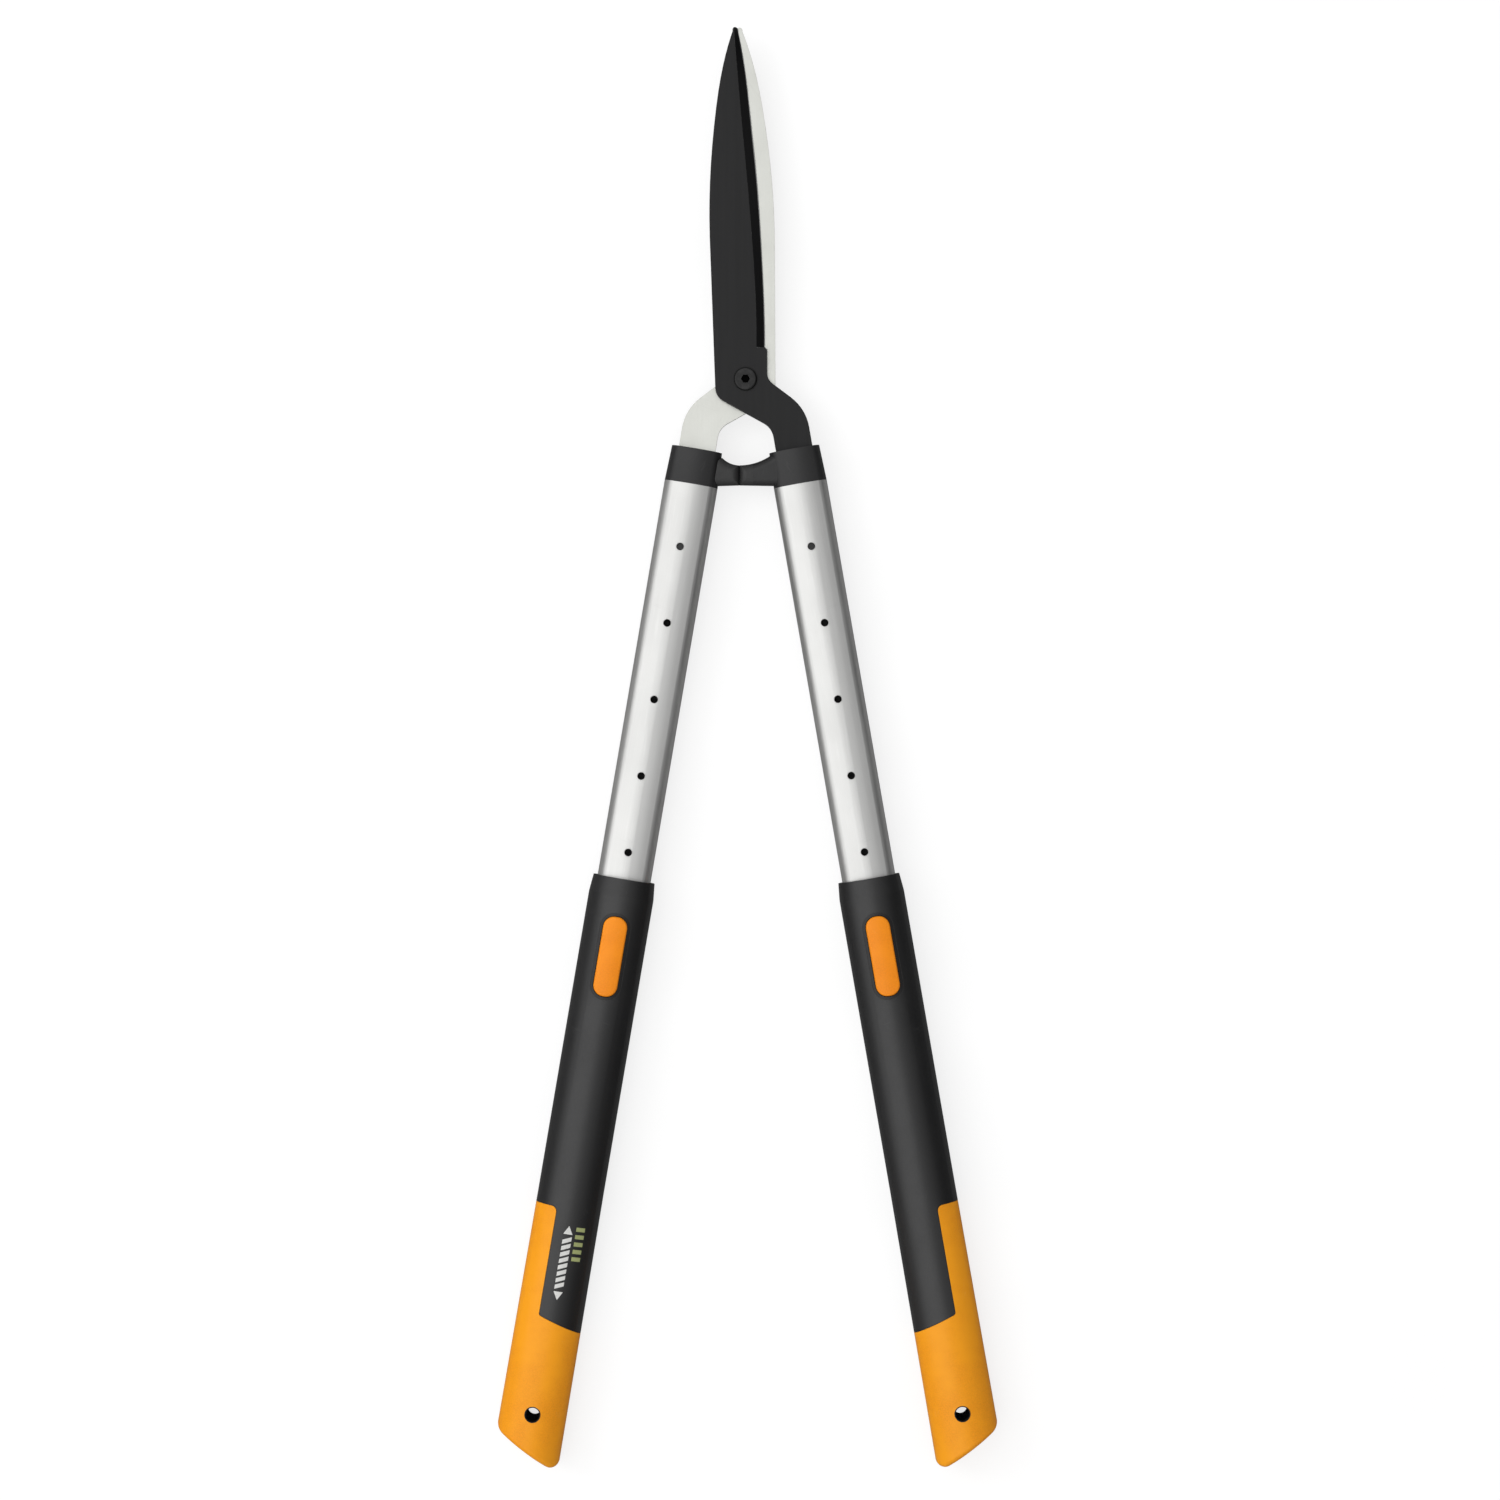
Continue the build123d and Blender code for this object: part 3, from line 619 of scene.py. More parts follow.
@dataclass(frozen=True)
class MouldedPlastic(Finish):
    """Moulded plastic or rubber: fine grain, mould line, worn edges and handling."""

    worn: Colour = (0.12, 0.12, 0.12)
    grain: float = 0.35 * MM
    depth: float = 0.02 * MM
    rounding: float = 0.3 * MM
    wear: float = 0.3
    wear_radius: float = 0.5 * MM
    wear_breakup: float = 2.2 * MM
    scratches: Scratches = Scratches(12 * MM, 0.009, 0.4)
    patch: float = 26 * MM
    seam_width: float = 0.22 * MM
    specular: float = 0.5
    shift: Colour = (0.0, 0.0, 0.0)

    def inlay(self, w: Wiring, position: Socket, tone: Socket) -> Socket:
        """Adds painted shade in a moulding's hole where it has one. The plain one adds none."""
        return tone

    def build(self) -> bpy.types.Material:
        """Makes the material.

        Returns:
            The new material.
        """
        material, w, shader, place = self.begin()
        position = place["Position"]
        grain = w.effect(Effect.MOULDED_GRAIN, Position=position, Size=self.grain)
        hands = w.effect(Effect.HANDLING, Position=position, Patch=self.patch)
        edges = EdgeWear(self.wear_radius, self.wear_breakup, self.wear)
        wear = w.effect(Effect.EDGE_WEAR, Position=position, **edges.feeds())["Mask"]
        marks = w.effect(Effect.FINE_SCRATCHES, Position=position, **self.scratches.feeds())["Mask"]
        seam = w.effect(Effect.MOULD_LINE, Position=position, Width=self.seam_width)["Line"]
        tone = w.blend(w.span(grain["Tone"], 0.3, 0.7), self.colour, self.shade(0.88))
        tone = w.blend(hands["Mask"], tone, [c + s for c, s in zip(self.colour, self.shift)])
        tone = w.blend(w.math("MULTIPLY", hands["Specks"], 0.12), tone, self.worn)
        tone = w.blend(w.math("MULTIPLY", seam, 0.25), tone, self.shade(0.6))
        scuff = w.math("MAXIMUM", wear, w.math("MULTIPLY", marks, 0.25))
        # The eyelet moulding adds painted shade in its hanging hole here.
        tone = self.inlay(w, position, w.blend(scuff, tone, self.worn))
        w.feed(shader.inputs["Base Color"], tone)
        satin = w.span(grain["Height"], 0.2, 0.8, self.roughness - 0.05, self.roughness + 0.07)
        satin = w.math("MULTIPLY_ADD", hands["Mask"], -0.05, satin)
        w.feed(shader.inputs["Roughness"], w.math("MULTIPLY_ADD", scuff, 0.12, satin))
        height = w.math("MULTIPLY_ADD", seam, 1.5, w.math("MULTIPLY_ADD", marks, -0.5, grain["Height"]))
        self.relief(w, shader, height, self.depth, self.rounding)
        shader.inputs["Specular IOR Level"].default_value = self.specular
        return material


@dataclass(frozen=True)
class EyeletPlastic(MouldedPlastic):
    """Orange moulding with painted shade on the wall and rim of its hanging hole."""

    eyelet_down: float = 595.5 * MM
    eyelet_radius: float = 5.15 * MM
    eyelet_blur: float = 0.05 * MM
    eyelet_colour: Colour = (0.006, 0.006, 0.006)

    def inlay(self, w: Wiring, position: Socket, tone: Socket) -> Socket:
        """Adds painted shade on the hanging hole's wall and rim.

        Args:
            w: the material's wiring.
            position: place in the handle's frame.
            tone: the moulding's own colour.

        Returns:
            The colour with the lining.
        """
        apart = w.add("SeparateXYZ", {0: position}).outputs
        down = w.math("ADD", apart[1], self.eyelet_down)
        flat = w.add("CombineXYZ", {0: apart[0], 1: down}).outputs[0]
        reach = w.length(flat)
        # Painted shade: near black over the hanging hole's wall and rim.
        hole_shade_mask = w.span(reach, self.eyelet_radius, self.eyelet_radius - self.eyelet_blur)
        return w.blend(hole_shade_mask, tone, self.eyelet_colour)


@dataclass(frozen=True)
class PlatedSteel(Finish):
    """Plated fastener steel with worn corners, and painted shade inside a socket where one is on the frame's
    axis.
    """

    worn: Colour = (0.6, 0.6, 0.58)
    socket_radius: float = 0.0
    socket_blur: float = 0.06 * MM
    socket_top: float = 5.2 * MM
    socket_fade: float = 0.2 * MM
    socket_colour: Colour = (0.002, 0.002, 0.002)
    edges: EdgeWear = EdgeWear(0.25 * MM, 0.8 * MM, 0.6)
    patch: float = 4 * MM
    grain: float = 0.25 * MM
    relief_depth: float = 0.01 * MM
    rounding: float = 0.15 * MM

    def build(self) -> bpy.types.Material:
        """Makes the material.

        Returns:
            The new material.
        """
        material, w, shader, place = self.begin()
        position = place["Position"]
        wear = w.effect(Effect.EDGE_WEAR, Position=position, **self.edges.feeds())["Mask"]
        hands = w.effect(Effect.HANDLING, Position=position, Patch=self.patch)["Mask"]
        turned = w.effect(Effect.MOULDED_GRAIN, Position=position, Size=self.grain)
        tone = w.blend(wear, w.blend(hands, self.colour, self.shade(1.3)), self.worn)
        # Painted shade: the socket's walls and floor are coloured near black.
        if self.socket_radius:
            flat = w.vector("MULTIPLY", position, (1.0, 1.0, 0.0))
            reach = w.length(flat)
            socket_shade_mask = w.span(reach, self.socket_radius, self.socket_radius - self.socket_blur)
            below = w.span(place["Tilt"], 0.99, 0.9)
            floor = w.span(w.part(position, 2), self.socket_top, self.socket_top - self.socket_fade)
            tone = w.blend(w.math("MULTIPLY", socket_shade_mask, w.math("MAXIMUM", below, floor)), tone, self.socket_colour)
        w.feed(shader.inputs["Base Color"], tone)
        w.feed(shader.inputs["Metallic"], 1.0)
        satin = w.span(turned["Tone"], 0.3, 0.7, self.roughness - 0.06, self.roughness + 0.08)
        w.feed(shader.inputs["Roughness"], satin)
        self.relief(w, shader, turned["Height"], self.relief_depth, self.rounding)
        return material


@dataclass(frozen=True)
class PrintInk(Finish):
    """Pad-printed ink, slightly worn through."""

    under: Colour = (0.02, 0.02, 0.021)
    grain: float = 0.3 * MM
    patch: float = 6 * MM
    relief_depth: float = 0.01 * MM
    rounding: float = 0.05 * MM

    def build(self) -> bpy.types.Material:
        """Makes the material.

        Returns:
            The new material.
        """
        material, w, shader, place = self.begin()
        position = place["Position"]
        grain = w.effect(Effect.MOULDED_GRAIN, Position=position, Size=self.grain)
        hands = w.effect(Effect.HANDLING, Position=position, Patch=self.patch)["Mask"]
        thin = w.math("MULTIPLY", w.span(grain["Tone"], 0.6, 0.75), 0.5)
        tone = w.blend(w.math("MULTIPLY", hands, 0.25), self.colour, self.shade(0.75))
        w.feed(shader.inputs["Base Color"], w.blend(thin, tone, self.under))
        satin = w.span(grain["Tone"], 0.3, 0.7, self.roughness, self.roughness + 0.15)
        w.feed(shader.inputs["Roughness"], satin)
        self.relief(w, shader, grain["Height"], self.relief_depth, self.rounding)
        return material


@dataclass(frozen=True)
class StudioFloor(Finish):
    """Pale sheet, lit from below so that what lies on it throws almost no shadow, and clear from beneath."""

    glow: float = 0.77
    mottle_scale: float = 9.0

    def build(self) -> bpy.types.Material:
        """Makes the material.

        Returns:
            The new material.
        """
        material, w, shader, place = self.begin()
        mottle = w.span(w.noise(place["Position"], self.mottle_scale), 0.3, 0.7)
        tone = w.blend(mottle, self.colour, self.shade(0.97))
        w.feed(shader.inputs["Base Color"], tone)
        seen = w.add("LightPath").outputs["Is Camera Ray"]
        lit = w.blend(mottle, (self.glow,) * 3, (self.glow * 0.99,) * 3)
        w.feed(shader.inputs["Emission Color"], w.blend(seen, (0.0, 0.0, 0.0), lit))
        shader.inputs["Emission Strength"].default_value = 1.0
        below = w.add("NewGeometry").outputs["Backfacing"]
        clear = w.add("BsdfTransparent").outputs[0]
        sheet = w.add("MixShader", {0: below, 1: shader.outputs[0], 2: clear}).outputs[0]
        w.feed(material.node_tree.get_output_node("ALL").inputs["Surface"], sheet)
        return material


# ---------------------------------------------------------------------------------------------
# Shapes
# ---------------------------------------------------------------------------------------------


@dataclass(frozen=True)
class HandleLine:
    """One handle's axis in the row frame, with lengths measured down it from the tube's head."""

    hand: Hand
    pivot: Vector
    lean: float = math.radians(9.75)
    head_out: float = 34.6 * MM
    head_down: float = 66.5 * MM

    def point(self, across: float, down: float, height: float) -> Vector:
        """Finds a point by its place on the handle.

        Args:
            across: distance outward from the axis.
            down: distance down the axis.
            height: height above the middle plane.

        Returns:
            The row-frame point.
        """
        x = self.head_out + across * math.cos(self.lean) + down * math.sin(self.lean)
        y = -self.head_down + across * math.sin(self.lean) - down * math.cos(self.lean)
        return Vector((self.pivot.x + self.hand.value * x, self.pivot.y + y, self.pivot.z + height))

    def turned_origin(self) -> tuple[float, float, float]:
        """Finds the tube's head after the right-hand line is turned to lie along Y.

        Returns:
            The turned point.
        """
        x = self.pivot.x + self.head_out
        y = self.pivot.y - self.head_down
        cos, sin = math.cos(self.lean), math.sin(self.lean)
        return (x * cos + y * sin, y * cos - x * sin, self.pivot.z)


@dataclass(frozen=True)
class Crown:
    """The front of a four-arc oval section."""

    width: float
    depth: float
    corner: float
    growth: float = 0.0

    def height(self, across: float) -> float:
        """Finds how high the front face stands.

        Args:
            across: distance from the middle of the section.

        Returns:
            The height above the middle plane.
        """
        side = self.width / 2 - self.corner
        half = self.depth / 2
        radius = (side**2 + half**2 - self.corner**2) / (self.depth - 2 * self.corner)
        return math.sqrt((radius + self.growth) ** 2 - across**2) - (radius - half)


def make_piece(name: str, build: Callable[[bmesh.types.BMesh], None], smooth: bool = True) -> bpy.types.Object:
    """Makes a mesh object from a function that fills a bmesh.

    Args:
        name: the piece's name.
        build: adds the geometry, in the row frame.
        smooth: whether the faces are shaded smooth.

    Returns:
        The new object, linked to the scene.
    """
    mesh = bpy.data.meshes.new(name)
    work = bmesh.new()
    build(work)
    bmesh.ops.remove_doubles(work, verts=work.verts, dist=WELD)
    bmesh.ops.recalc_face_normals(work, faces=work.faces)
    for face in work.faces:
        face.smooth = smooth
    work.to_mesh(mesh)
    work.free()
    piece = bpy.data.objects.new(name, mesh)
    bpy.context.scene.collection.objects.link(piece)
    return piece


def add_rows(work: bmesh.types.BMesh, rows: Sequence[Sequence[Vector]], looped: bool) -> None:
    """Skins closed rows of points from first to last.

    Args:
        work: the mesh in progress.
        rows: closed rows of points, all of one length.
        looped: whether the last row joins the first; else both are capped.
    """
    grid = [[work.verts.new(p) for p in row] for row in rows]
    count = len(grid[0])
    for upper, lower in zip(grid, grid[1:] + grid[:looped]):
        for i in range(count):
            j = (i + 1) % count
            work.faces.new((upper[i], upper[j], lower[j], lower[i]))
    if not looped:
        work.faces.new(grid[0])
        work.faces.new(list(reversed(grid[-1])))


def add_slab(
    work: bmesh.types.BMesh, upper: Sequence[tuple[Vector, Vector]], lower: Sequence[tuple[Vector, Vector]]
) -> None:
    """Adds a thin closed ribbon between an upper and a lower row of point pairs.

    Args:
        work: the mesh in progress.
        upper: start and end point of each rung on the outer side.
        lower: the same rungs on the inner side.
    """
    rungs = [[work.verts.new(p) for p in (*top, *reversed(base))] for top, base in zip(upper, lower)]
    for first, second in zip(rungs, rungs[1:]):
        for i in range(4):
            j = (i + 1) % 4
            work.faces.new((first[i], first[j], second[j], second[i]))
    work.faces.new(rungs[0])
    work.faces.new(list(reversed(rungs[-1])))


def dress(node: str, material: bpy.types.Material) -> None:
    """Gives a CAD node its finish.

    Args:
        node: the node's name.
        material: the finish.
    """
    item = frame["nodes"][node]
    if not item.material_slots:
        item.data.materials.append(material)
    for slot in item.material_slots:
        slot.material = material
    LOG.info("dressed %s in %s", node, material.name)


# ---------------------------------------------------------------------------------------------
# Sub-assemblies
# ---------------------------------------------------------------------------------------------


@dataclass
class Wardrobe:
    """All finishes of the shears, made once."""

    pivot: Vector

    def __post_init__(self) -> None:
        """Makes every material."""
        centre = Datum(0.0, tuple(self.pivot))
        line = HandleLine(Hand.RIGHT, self.pivot)
        handle = Datum(-line.lean, line.turned_origin())
        self.coated = CoatedSteel("coated_steel", (0.0075, 0.0075, 0.0079), 0.42, centre).build()
        self.ground = GroundSteel("ground_steel", (0.676, 0.683, 0.641), 0.36, centre).build()
        self.aluminium = DrawnAluminium("drawn_aluminium", (0.7, 0.7, 0.685), 0.42, handle).build()
        black = (0.035, 0.035, 0.035)
        self.plated = PlatedSteel("plated_steel", black, 0.4, centre, worn=(0.2, 0.2, 0.2)).build()
        self.bolt = PlatedSteel(
            "bolt_steel", black, 0.42, centre, worn=(0.16, 0.16, 0.16), socket_radius=2.95 * MM
        ).build()
        self.wire = PlatedSteel("spring_wire", (0.55, 0.55, 0.56), 0.3, centre).build()
        self.collar = MouldedPlastic("collar_plastic", (0.012, 0.012, 0.0125), 0.44, handle, wear=0.2).build()
        self.core = MouldedPlastic("core_plastic", (0.006, 0.006, 0.0062), 0.42, handle, wear=0.15).build()
        self.bumper = MouldedPlastic(
            "bumper_rubber", (0.022, 0.022, 0.022), 0.55, handle, grain=0.6 * MM, wear=0.15
        ).build()
        self.skin = MouldedPlastic(
            "grip_skin",
            (0.0062, 0.0062, 0.0065),
            0.42,
            handle,
            worn=(0.06, 0.06, 0.06),
            grain=0.5 * MM,
            depth=0.03 * MM,
            wear=0.12,
            specular=0.68,
        ).build()
        self.orange = EyeletPlastic(
            "orange_plastic",
            (0.93, 0.33, 0.004),
            0.42,
            handle,
            worn=(0.95, 0.5, 0.12),
            grain=0.4 * MM,
            depth=0.012 * MM,
            wear=0.2,
            specular=0.3,
            shift=(0.02, 0.03, 0.001),
        ).build()
        self.button = MouldedPlastic(
            "button_plastic",
            (0.95, 0.275, 0.003),
            0.4,
            handle,
            worn=(0.95, 0.45, 0.1),
            grain=0.4 * MM,
            depth=0.008 * MM,
            wear=0.2,
            specular=0.3,
            shift=(0.02, 0.02, 0.001),
        ).build()
        self.nylon = MouldedPlastic("bush_nylon", (0.03, 0.03, 0.03), 0.45, handle).build()
        self.white_ink = PrintInk("white_ink", (0.72, 0.72, 0.7), 0.5, handle).build()
        self.olive_ink = PrintInk("olive_ink", (0.36, 0.4, 0.16), 0.5, handle).build()


@dataclass
class BladeSet:
    """Both blades with their pivot's bolt, washer and nut."""

    wardrobe: Wardrobe

    def build(self) -> None:
        """Dresses the CAD nodes."""
        dress("front_blade", self.wardrobe.coated)
        dress("rear_blade", self.wardrobe.ground)
        dress("pivot_bolt", self.wardrobe.bolt)
        for node in ("pivot_washer", "pivot_nut"):
            dress(node, self.wardrobe.plated)


@dataclass
class CollarHead:
    """Moulded collar with its screws and rubber buffer."""

    wardrobe: Wardrobe
    line: HandleLine

    def build(self) -> None:
        """Dresses the CAD nodes."""
        side = self.line.hand.label
        dress(f"{side}_collar", self.wardrobe.collar)
        dress(f"{side}_buffer", self.wardrobe.bumper)
        dress(f"{side}_tang_screws", self.wardrobe.plated)


@dataclass
class ContactPad:
    """Rubber face that closes the gap between the two buffers while the blades are shut."""

    wardrobe: Wardrobe
    pivot: Vector
    outer: float = 4.095 * MM
    inner: float = 3.905 * MM
    upper: float = 54.7 * MM
    lower: float = 67.1 * MM
    half_height: float = 1.15 * MM
    corner: float = 0.6 * MM
    steps: int = 6

    def block(self, work: bmesh.types.BMesh) -> None:
        """Adds the pad with its rounded corners.

        Args:
            work: the mesh in progress.
        """
        outline = []
        for quarter, (y, z) in enumerate(
            (
                (-self.upper - self.corner, self.half_height - self.corner),
                (-self.lower + self.corner, self.half_height - self.corner),
                (-self.lower + self.corner, -self.half_height + self.corner),
                (-self.upper - self.corner, -self.half_height + self.corner),
            )
        ):
            for i in range(self.steps + 1):
                turn = math.pi / 2 * (quarter + i / self.steps)
                outline.append((y + self.corner * math.cos(turn), z + self.corner * math.sin(turn)))
        rows = [[self.pivot + Vector((-x, y, z)) for y, z in outline] for x in (self.outer, self.inner)]
        add_rows(work, rows, looped=False)

    def build(self) -> None:
        """Makes the pad on the left buffer."""
        pad = make_piece("left_contact_pad", self.block)
        pad.data.materials.append(self.wardrobe.bumper)
        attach(pad, "rear_half")
        LOG.info("built %s", pad.name)


@dataclass
class TelescopicTube:
    """Oval tube with the pressed lips of its lock holes."""

    wardrobe: Wardrobe
    line: HandleLine
    body: str
    crown: Crown = Crown(34 * MM, 19 * MM, 8 * MM)
    first_hole: float = 40.4 * MM
    pitch: float = 49 * MM
    holes: int = 6
    hole_radius: float = 2.4 * MM
    lip: float = 0.35 * MM
    proud: float = 0.05 * MM
    turned_in: float = 0.5 * MM
    steps: int = 40

    def lip_ring(self, work: bmesh.types.BMesh, station: float) -> None:
        """Adds one hole's rounded lip.

        Args:
            work: the mesh in progress.
            station: the hole's distance down the tube.
        """
        rim, drop = self.hole_radius, self.turned_in
        profile = (
            (rim + self.lip, -drop),
            (rim + self.lip, 0.0),
            (rim + self.lip * 0.7, self.proud),
            (rim + self.lip * 0.25, self.proud),
            (rim - self.lip * 0.15, -self.proud),
            (rim - self.lip * 0.2, -drop),
        )
        rows = []
        for radius, lift in profile:
            ring = []
            for i in range(self.steps):
                turn = math.tau * i / self.steps
                across = radius * math.cos(turn)
                height = self.crown.height(across) + lift
                ring.append(self.line.point(across, station + radius * math.sin(turn), height))
            rows.append(ring)
        add_rows(work, rows, looped=True)

    def build(self) -> None:
        """Dresses the tube and its plug and adds the lips."""
        side = self.line.hand.label
        dress(f"{side}_tube", self.wardrobe.aluminium)
        dress(f"{side}_tube_plug", self.wardrobe.core)

        def rings(work: bmesh.types.BMesh) -> None:
            """Adds every hole's lip."""
            for i in range(self.holes):
                self.lip_ring(work, self.first_hole + i * self.pitch)

        lips = make_piece(f"{side}_hole_lips", rings)
        lips.data.materials.append(self.wardrobe.aluminium)
        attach(lips, self.body)
        LOG.info("built %s", lips.name)


@dataclass
class Grip:
    """Core, bushes, soft skin, orange end cap and rivet of one grip."""

    wardrobe: Wardrobe
    line: HandleLine

    def build(self) -> None:
        """Dresses the CAD nodes."""
        side = self.line.hand.label
        dress(f"{side}_grip_core", self.wardrobe.core)
        dress(f"{side}_soft_grip", self.wardrobe.skin)
        dress(f"{side}_end_cap", self.wardrobe.orange)
        for bush in ("mouth_bush", "stop_bush"):
            dress(f"{side}_{bush}", self.wardrobe.nylon)
        dress(f"{side}_button_rivet", self.wardrobe.plated)


@dataclass
class LockButton:
    """Rocking lock button with its pin."""

    wardrobe: Wardrobe
    line: HandleLine

    def build(self) -> None:
        """Dresses the CAD nodes."""
        side = self.line.hand.label
        dress(f"{side}_lock_button", self.wardrobe.button)
        dress(f"{side}_lock_pin", self.wardrobe.wire)


@dataclass
class ButtonSpring:
    """Open coil under a lock button's lower end; the rocking button flattens the real one, but this coil is
    built only at rest.
    """

    wardrobe: Wardrobe
    line: HandleLine
    station: float = 319.8 * MM
    seat: float = 11.15 * MM
    rise: float = 2.7 * MM
    radius: float = 2.2 * MM
    wire: float = 0.15 * MM
    turns: float = 1.5
    pressed: float = 0.28
    steps: int = 54
    sides: int = 8

    def coil(self, work: bmesh.types.BMesh) -> None:
        """Adds the coiled wire.

        Args:
            work: the mesh in progress.
        """
        rows = []
        for i in range(self.steps + 1):
            share = i / self.steps
            turn = math.tau * self.turns * share
            height = self.seat + self.wire + (self.rise - 2 * self.wire) * share
            row = []
            for j in range(self.sides):
                spin = math.tau * j / self.sides
                reach = self.radius + self.wire * math.cos(spin)
                across, down = reach * math.cos(turn), self.station + reach * math.sin(turn)
                row.append(self.line.point(across, down, height + self.wire * math.sin(spin)))
            rows.append(row)
        add_rows(work, rows, looped=False)

    def build(self) -> None:
        """Makes the coil in place of the plain one."""
        side = self.line.hand.label
        spring = make_piece(f"{side}_coil_spring", self.coil)
        spring.data.materials.append(self.wardrobe.wire)
        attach(spring, f"{side}_grip")
        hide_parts(f"{side}_button_spring")
        seat = tuple(self.line.point(0.0, self.station, self.seat))
        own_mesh(spring)
        LOG.info("built %s", spring.name)


@dataclass
class SlideMarks:
    """Printed scale on the left grip that shows which way it slides: slanted bars between two arrow heads."""

    wardrobe: Wardrobe
    line: HandleLine
    grip_top: float = 253.4 * MM
    width: float = 41.4 * MM
    depth: float = 31.0 * MM
    corner: float = 11.5 * MM
    flare_start: float = 200.0 * MM
    flare_rate: float = 0.7 / 197.2
    film: float = 0.05 * MM
    sunk: float = 0.15 * MM
    start: float = 221.3 * MM
    scale_across: float = -3.0 * MM
    scale_half: float = 2.8 * MM
    head: float = 5.0 * MM
    blunt: float = 0.3 * MM
    bars: int = 8
    bar: float = 2.7 * MM
    bar_gap: float = 1.4 * MM
    slant: float = 1.2 * MM
    tick_across: float = -10.4 * MM
    tick_half: float = 2.7 * MM
    ticks: int = 5
    tick: float = 2.6 * MM
    tick_gap: float = 2.1 * MM
    steps: int = 8

    def on_skin(self, across: float, below: float, lift: float) -> Vector:
        """Point over the grip's skin.

        Args:
            across: distance outward from the handle's axis.
            below: distance down from the grip's top.
            lift: height over the skin.

        Returns:
            The row-frame point.
        """
        growth = max(0.0, below - self.flare_start) * self.flare_rate
        crown = Crown(self.width, self.depth, self.corner, growth)
        return self.line.point(across, self.grip_top + below, crown.height(across) + lift)

    def panel(
        self,
        work: bmesh.types.BMesh,
        middle: float,
        half: float,
        upper: Callable[[float], float],
        lower: Callable[[float], float],
    ) -> None:
        """Adds one printed shape.

        Args:
            work: the mesh in progress.
            middle: where its middle lies across the grip.
            half: half of its width.
            upper: distance below the grip's top of its upper edge, from -1 to 1 across it.
            lower: the same for its lower edge.
        """
        outer, inner = [], []
        for i in range(self.steps + 1):
            u = 2 * i / self.steps - 1
            for rungs, lift in ((outer, self.film), (inner, -self.sunk)):
                across = middle + half * u
                rungs.append((self.on_skin(across, upper(u), lift), self.on_skin(across, lower(u), lift)))
        add_slab(work, outer, inner)

    def arrow_scale(self, work: bmesh.types.BMesh) -> None:
        """Adds the arrow heads and the slanted bars between them.

        Args:
            work: the mesh in progress.
        """
        place = (work, self.scale_across, self.scale_half)
        first = self.start
        self.panel(*place, lambda u: first + self.head * abs(u) - self.blunt, lambda u: first + self.head)
        bar_start = first + self.head + self.bar_gap + self.slant
        pitch = self.bar + self.bar_gap
        for i in range(self.bars):
            top = bar_start + i * pitch
            self.panel(*place, lambda u: top + self.slant * u, lambda u: top + self.slant * u + self.bar)
        last = bar_start + self.bars * pitch + self.slant
        self.panel(*place, lambda u: last, lambda u: last + self.head * (1 - abs(u)) + self.blunt)

    def tick_row(self, work: bmesh.types.BMesh) -> None:
        """Adds the row of short ticks.

        Args:
            work: the mesh in progress.
        """
        for i in range(self.ticks):
            top = self.start + i * (self.tick + self.tick_gap)
            self.panel(work, self.tick_across, self.tick_half, lambda u: top, lambda u: top + self.tick)

    def build(self) -> None:
        """Makes the two prints."""
        for name, fill, ink in (
            ("left_slide_scale", self.arrow_scale, self.wardrobe.white_ink),
            ("left_slide_ticks", self.tick_row, self.wardrobe.olive_ink),
        ):
            mark = make_piece(name, fill, smooth=False)
            mark.data.materials.append(ink)
            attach(mark, "left_grip")
            LOG.info("built %s", name)


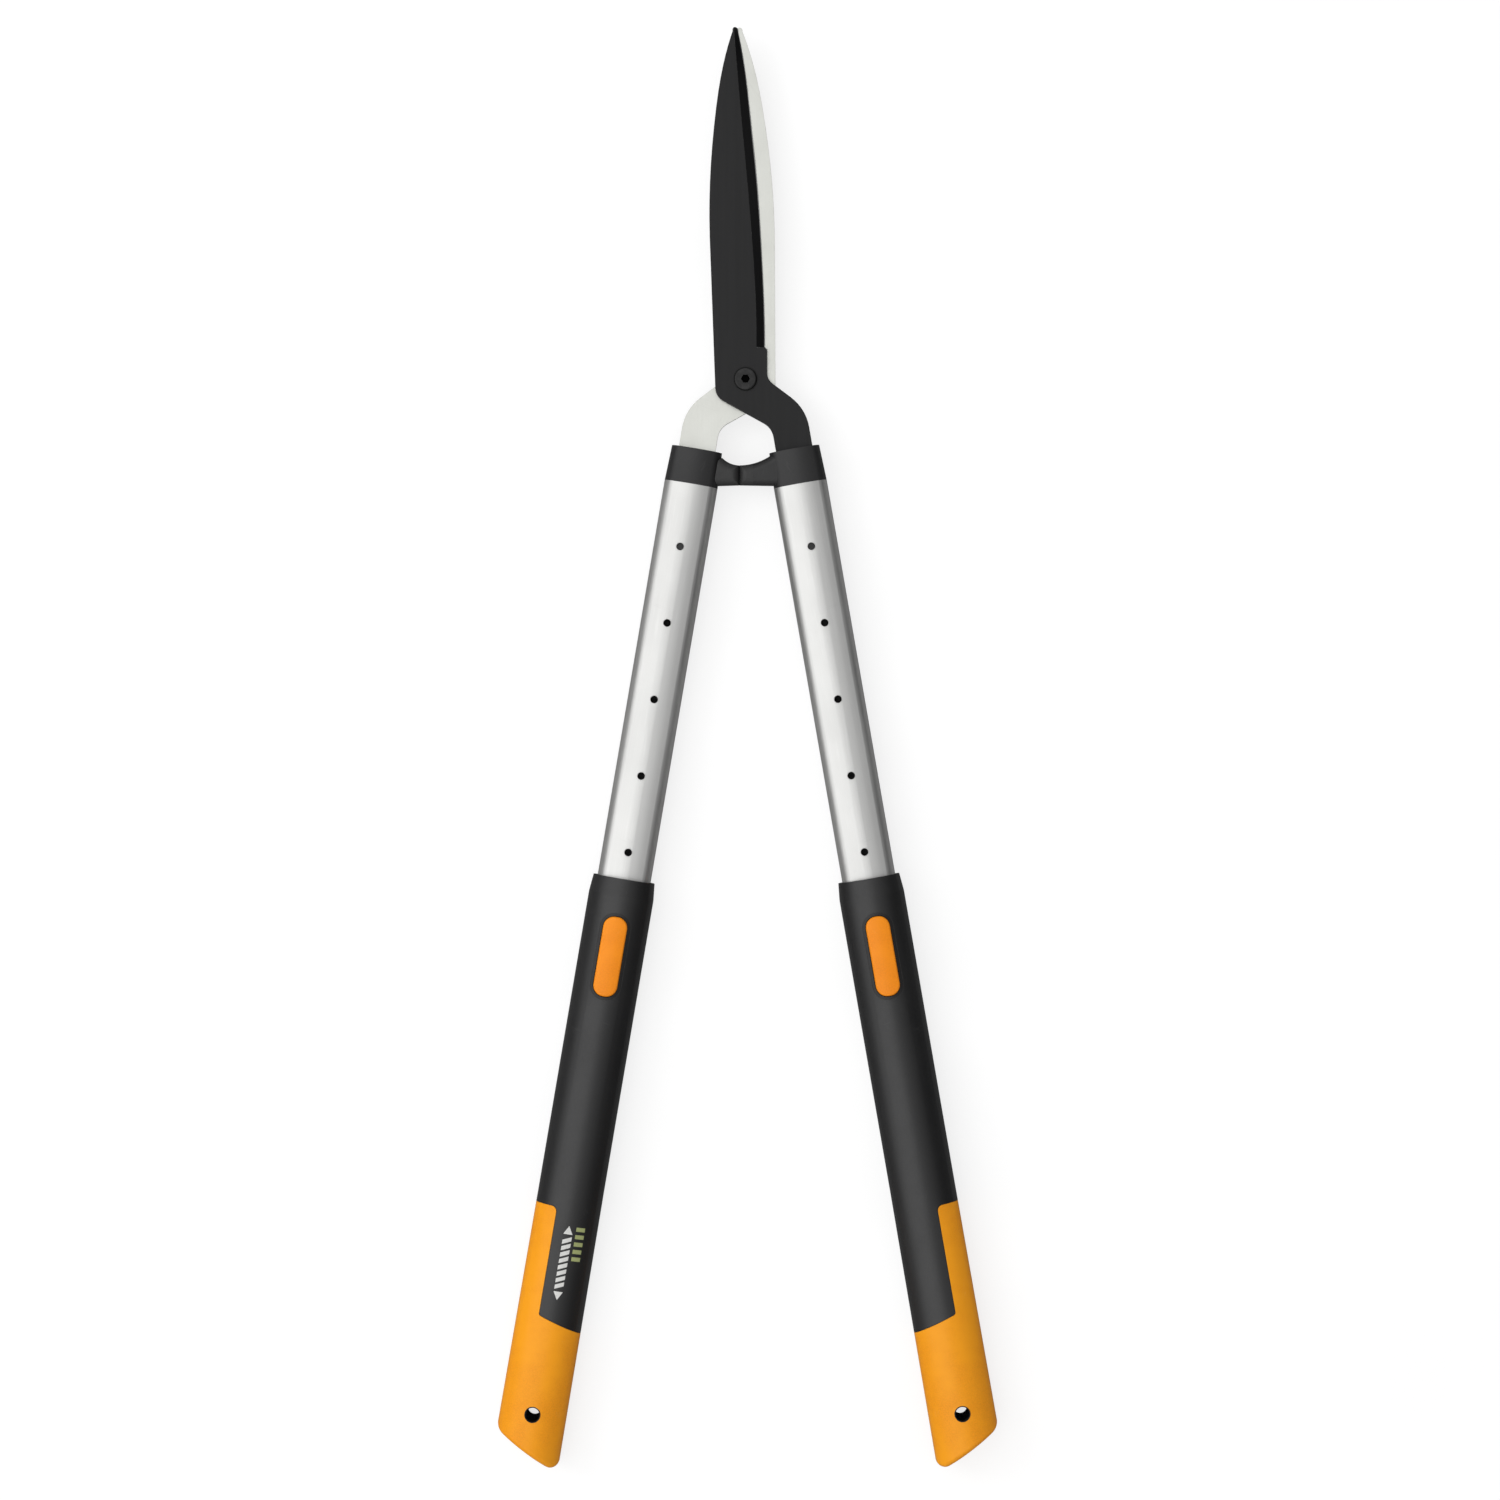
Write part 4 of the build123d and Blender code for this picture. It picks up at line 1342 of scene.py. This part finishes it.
@dataclass
class Studio:
    """Floor, soft lights, surroundings and camera."""

    middle: Vector
    camera_height: float = 2.5
    view_width: float = 0.9505
    sensor_width: float = 36.0
    clip_end: float = 30.0
    aim: tuple[float, float] = (2.4 * MM, -2.2 * MM)
    roll: float = math.radians(-0.11)
    reach: float = 6.0
    floor_drop: float = 0.2 * MM
    ambient: Colour = (0.5, 0.5, 0.5)
    mirrored_near: Colour = (0.56, 0.56, 0.565)
    mirrored_far: Colour = (0.05, 0.05, 0.052)
    overhead: tuple[float, float, float] = (-2.4, 0.0, 2.75)
    overhead_drop: tuple[float, float, float] = (0.0, 0.001, 1.0)
    overhead_size: tuple[float, float] = (5.2, 5.0)
    overhead_radiance: float = 0.92
    fill: tuple[float, float, float] = (-2.6, 0.9, 2.0)
    fill_size: tuple[float, float] = (1.6, 1.6)
    fill_radiance: float = 3.4

    def floor(self) -> None:
        """Lays the pale floor."""

        def sheet(work: bmesh.types.BMesh) -> None:
            """Adds the floor's one face."""
            far = self.reach
            corners = ((-far, -far), (far, -far), (far, far), (-far, far))
            work.faces.new([work.verts.new((x, y, -self.floor_drop)) for x, y in corners])

        floor = make_piece("studio_floor", sheet, smooth=False)
        datum = Datum(0.0, (0.0, 0.0, 0.0))
        floor.data.materials.append(StudioFloor("studio_sheet", (0.28, 0.28, 0.28), 0.9, datum).build())

    def softbox(
        self, name: str, place: Vector, aim: Vector, size: tuple[float, float], radiance: float, mirrored: bool
    ) -> None:
        """Hangs a rectangular soft light.

        Args:
            name: the light's name.
            place: its position.
            aim: the point that it faces.
            size: its width and height.
            radiance: how bright its face is.
            mirrored: whether gloss shows it.
        """
        data = bpy.data.lights.new(name, "AREA")
        data.shape = "RECTANGLE"
        data.size, data.size_y = size
        data.energy = radiance * math.pi * size[0] * size[1]
        lamp = bpy.data.objects.new(name, data)
        lamp.location = place
        lamp.rotation_euler = (aim - place).to_track_quat("-Z", "Y").to_euler()
        lamp.visible_camera = False
        lamp.visible_glossy = mirrored
        bpy.context.scene.collection.objects.link(lamp)

    def surroundings(self) -> None:
        """Makes the pale room, dimmer where it is mirrored."""
        world = bpy.data.worlds.new("studio_room")
        world.use_nodes = True
        world.node_tree.nodes.clear()
        w = Wiring(world.node_tree)
        rays = w.add("LightPath").outputs
        sideways = w.part(w.add("TexCoord").outputs["Generated"], 0)
        near = w.span(sideways, 0.95, 0.35)
        far = w.span(sideways, -1.0, -0.85)
        mirrored = w.blend(w.math("MULTIPLY", near, far), self.mirrored_far, self.mirrored_near)
        tone = w.blend(rays["Is Camera Ray"], self.ambient, (1.0, 1.0, 1.0))
        tone = w.blend(rays["Is Glossy Ray"], tone, mirrored)
        air = w.add("Background", {"Color": tone, "Strength": 1.0})
        w.feed(w.add("OutputWorld").inputs["Surface"], air.outputs[0])
        bpy.context.scene.world = world

    def camera(self) -> None:
        """Sets the camera straight above the shears."""
        data = bpy.data.cameras.new("front_camera")
        data.sensor_width = self.sensor_width
        data.lens = data.sensor_width * self.camera_height / self.view_width
        data.clip_end = self.clip_end
        camera = bpy.data.objects.new("front_camera", data)
        camera.location = self.middle + Vector((*self.aim, self.camera_height))
        camera.rotation_euler = (0.0, 0.0, self.roll)
        bpy.context.scene.collection.objects.link(camera)
        bpy.context.scene.camera = camera

    def build(self) -> None:
        """Sets up everything round the shears."""
        self.floor()
        self.surroundings()
        place = Vector(self.overhead)
        below = place - Vector(self.overhead_drop)
        self.softbox("ceiling_softbox", place, below, self.overhead_size, self.overhead_radiance, True)
        self.softbox("left_fill", Vector(self.fill), self.middle, self.fill_size, self.fill_radiance, False)
        self.camera()
        view = bpy.context.scene.view_settings
        view.view_transform = "Standard"
        view.look = "None"
        LOG.info("studio ready")


def main() -> None:
    """Builds and dresses every sub-assembly in order."""
    logging.basicConfig(level=logging.INFO, format="%(message)s")
    joint = next(j for j in frame["record"]["behaviour"]["joints"] if j["name"] == "blade_pivot")
    pivot = Vector(joint["pos_m"])
    low, high = (Vector(corner) for corner in CAD_BOX)
    wardrobe = Wardrobe(pivot)
    BladeSet(wardrobe).build()
    ContactPad(wardrobe, pivot).build()
    for hand, half in ((Hand.LEFT, "rear_half"), (Hand.RIGHT, "front_half")):
        line = HandleLine(hand, pivot)
        CollarHead(wardrobe, line).build()
        TelescopicTube(wardrobe, line, half).build()
        Grip(wardrobe, line).build()
        LockButton(wardrobe, line).build()
        ButtonSpring(wardrobe, line).build()
    SlideMarks(wardrobe, HandleLine(Hand.LEFT, pivot)).build()
    Studio((low + high) / 2).build()


if __name__ == "__main__":
    main()
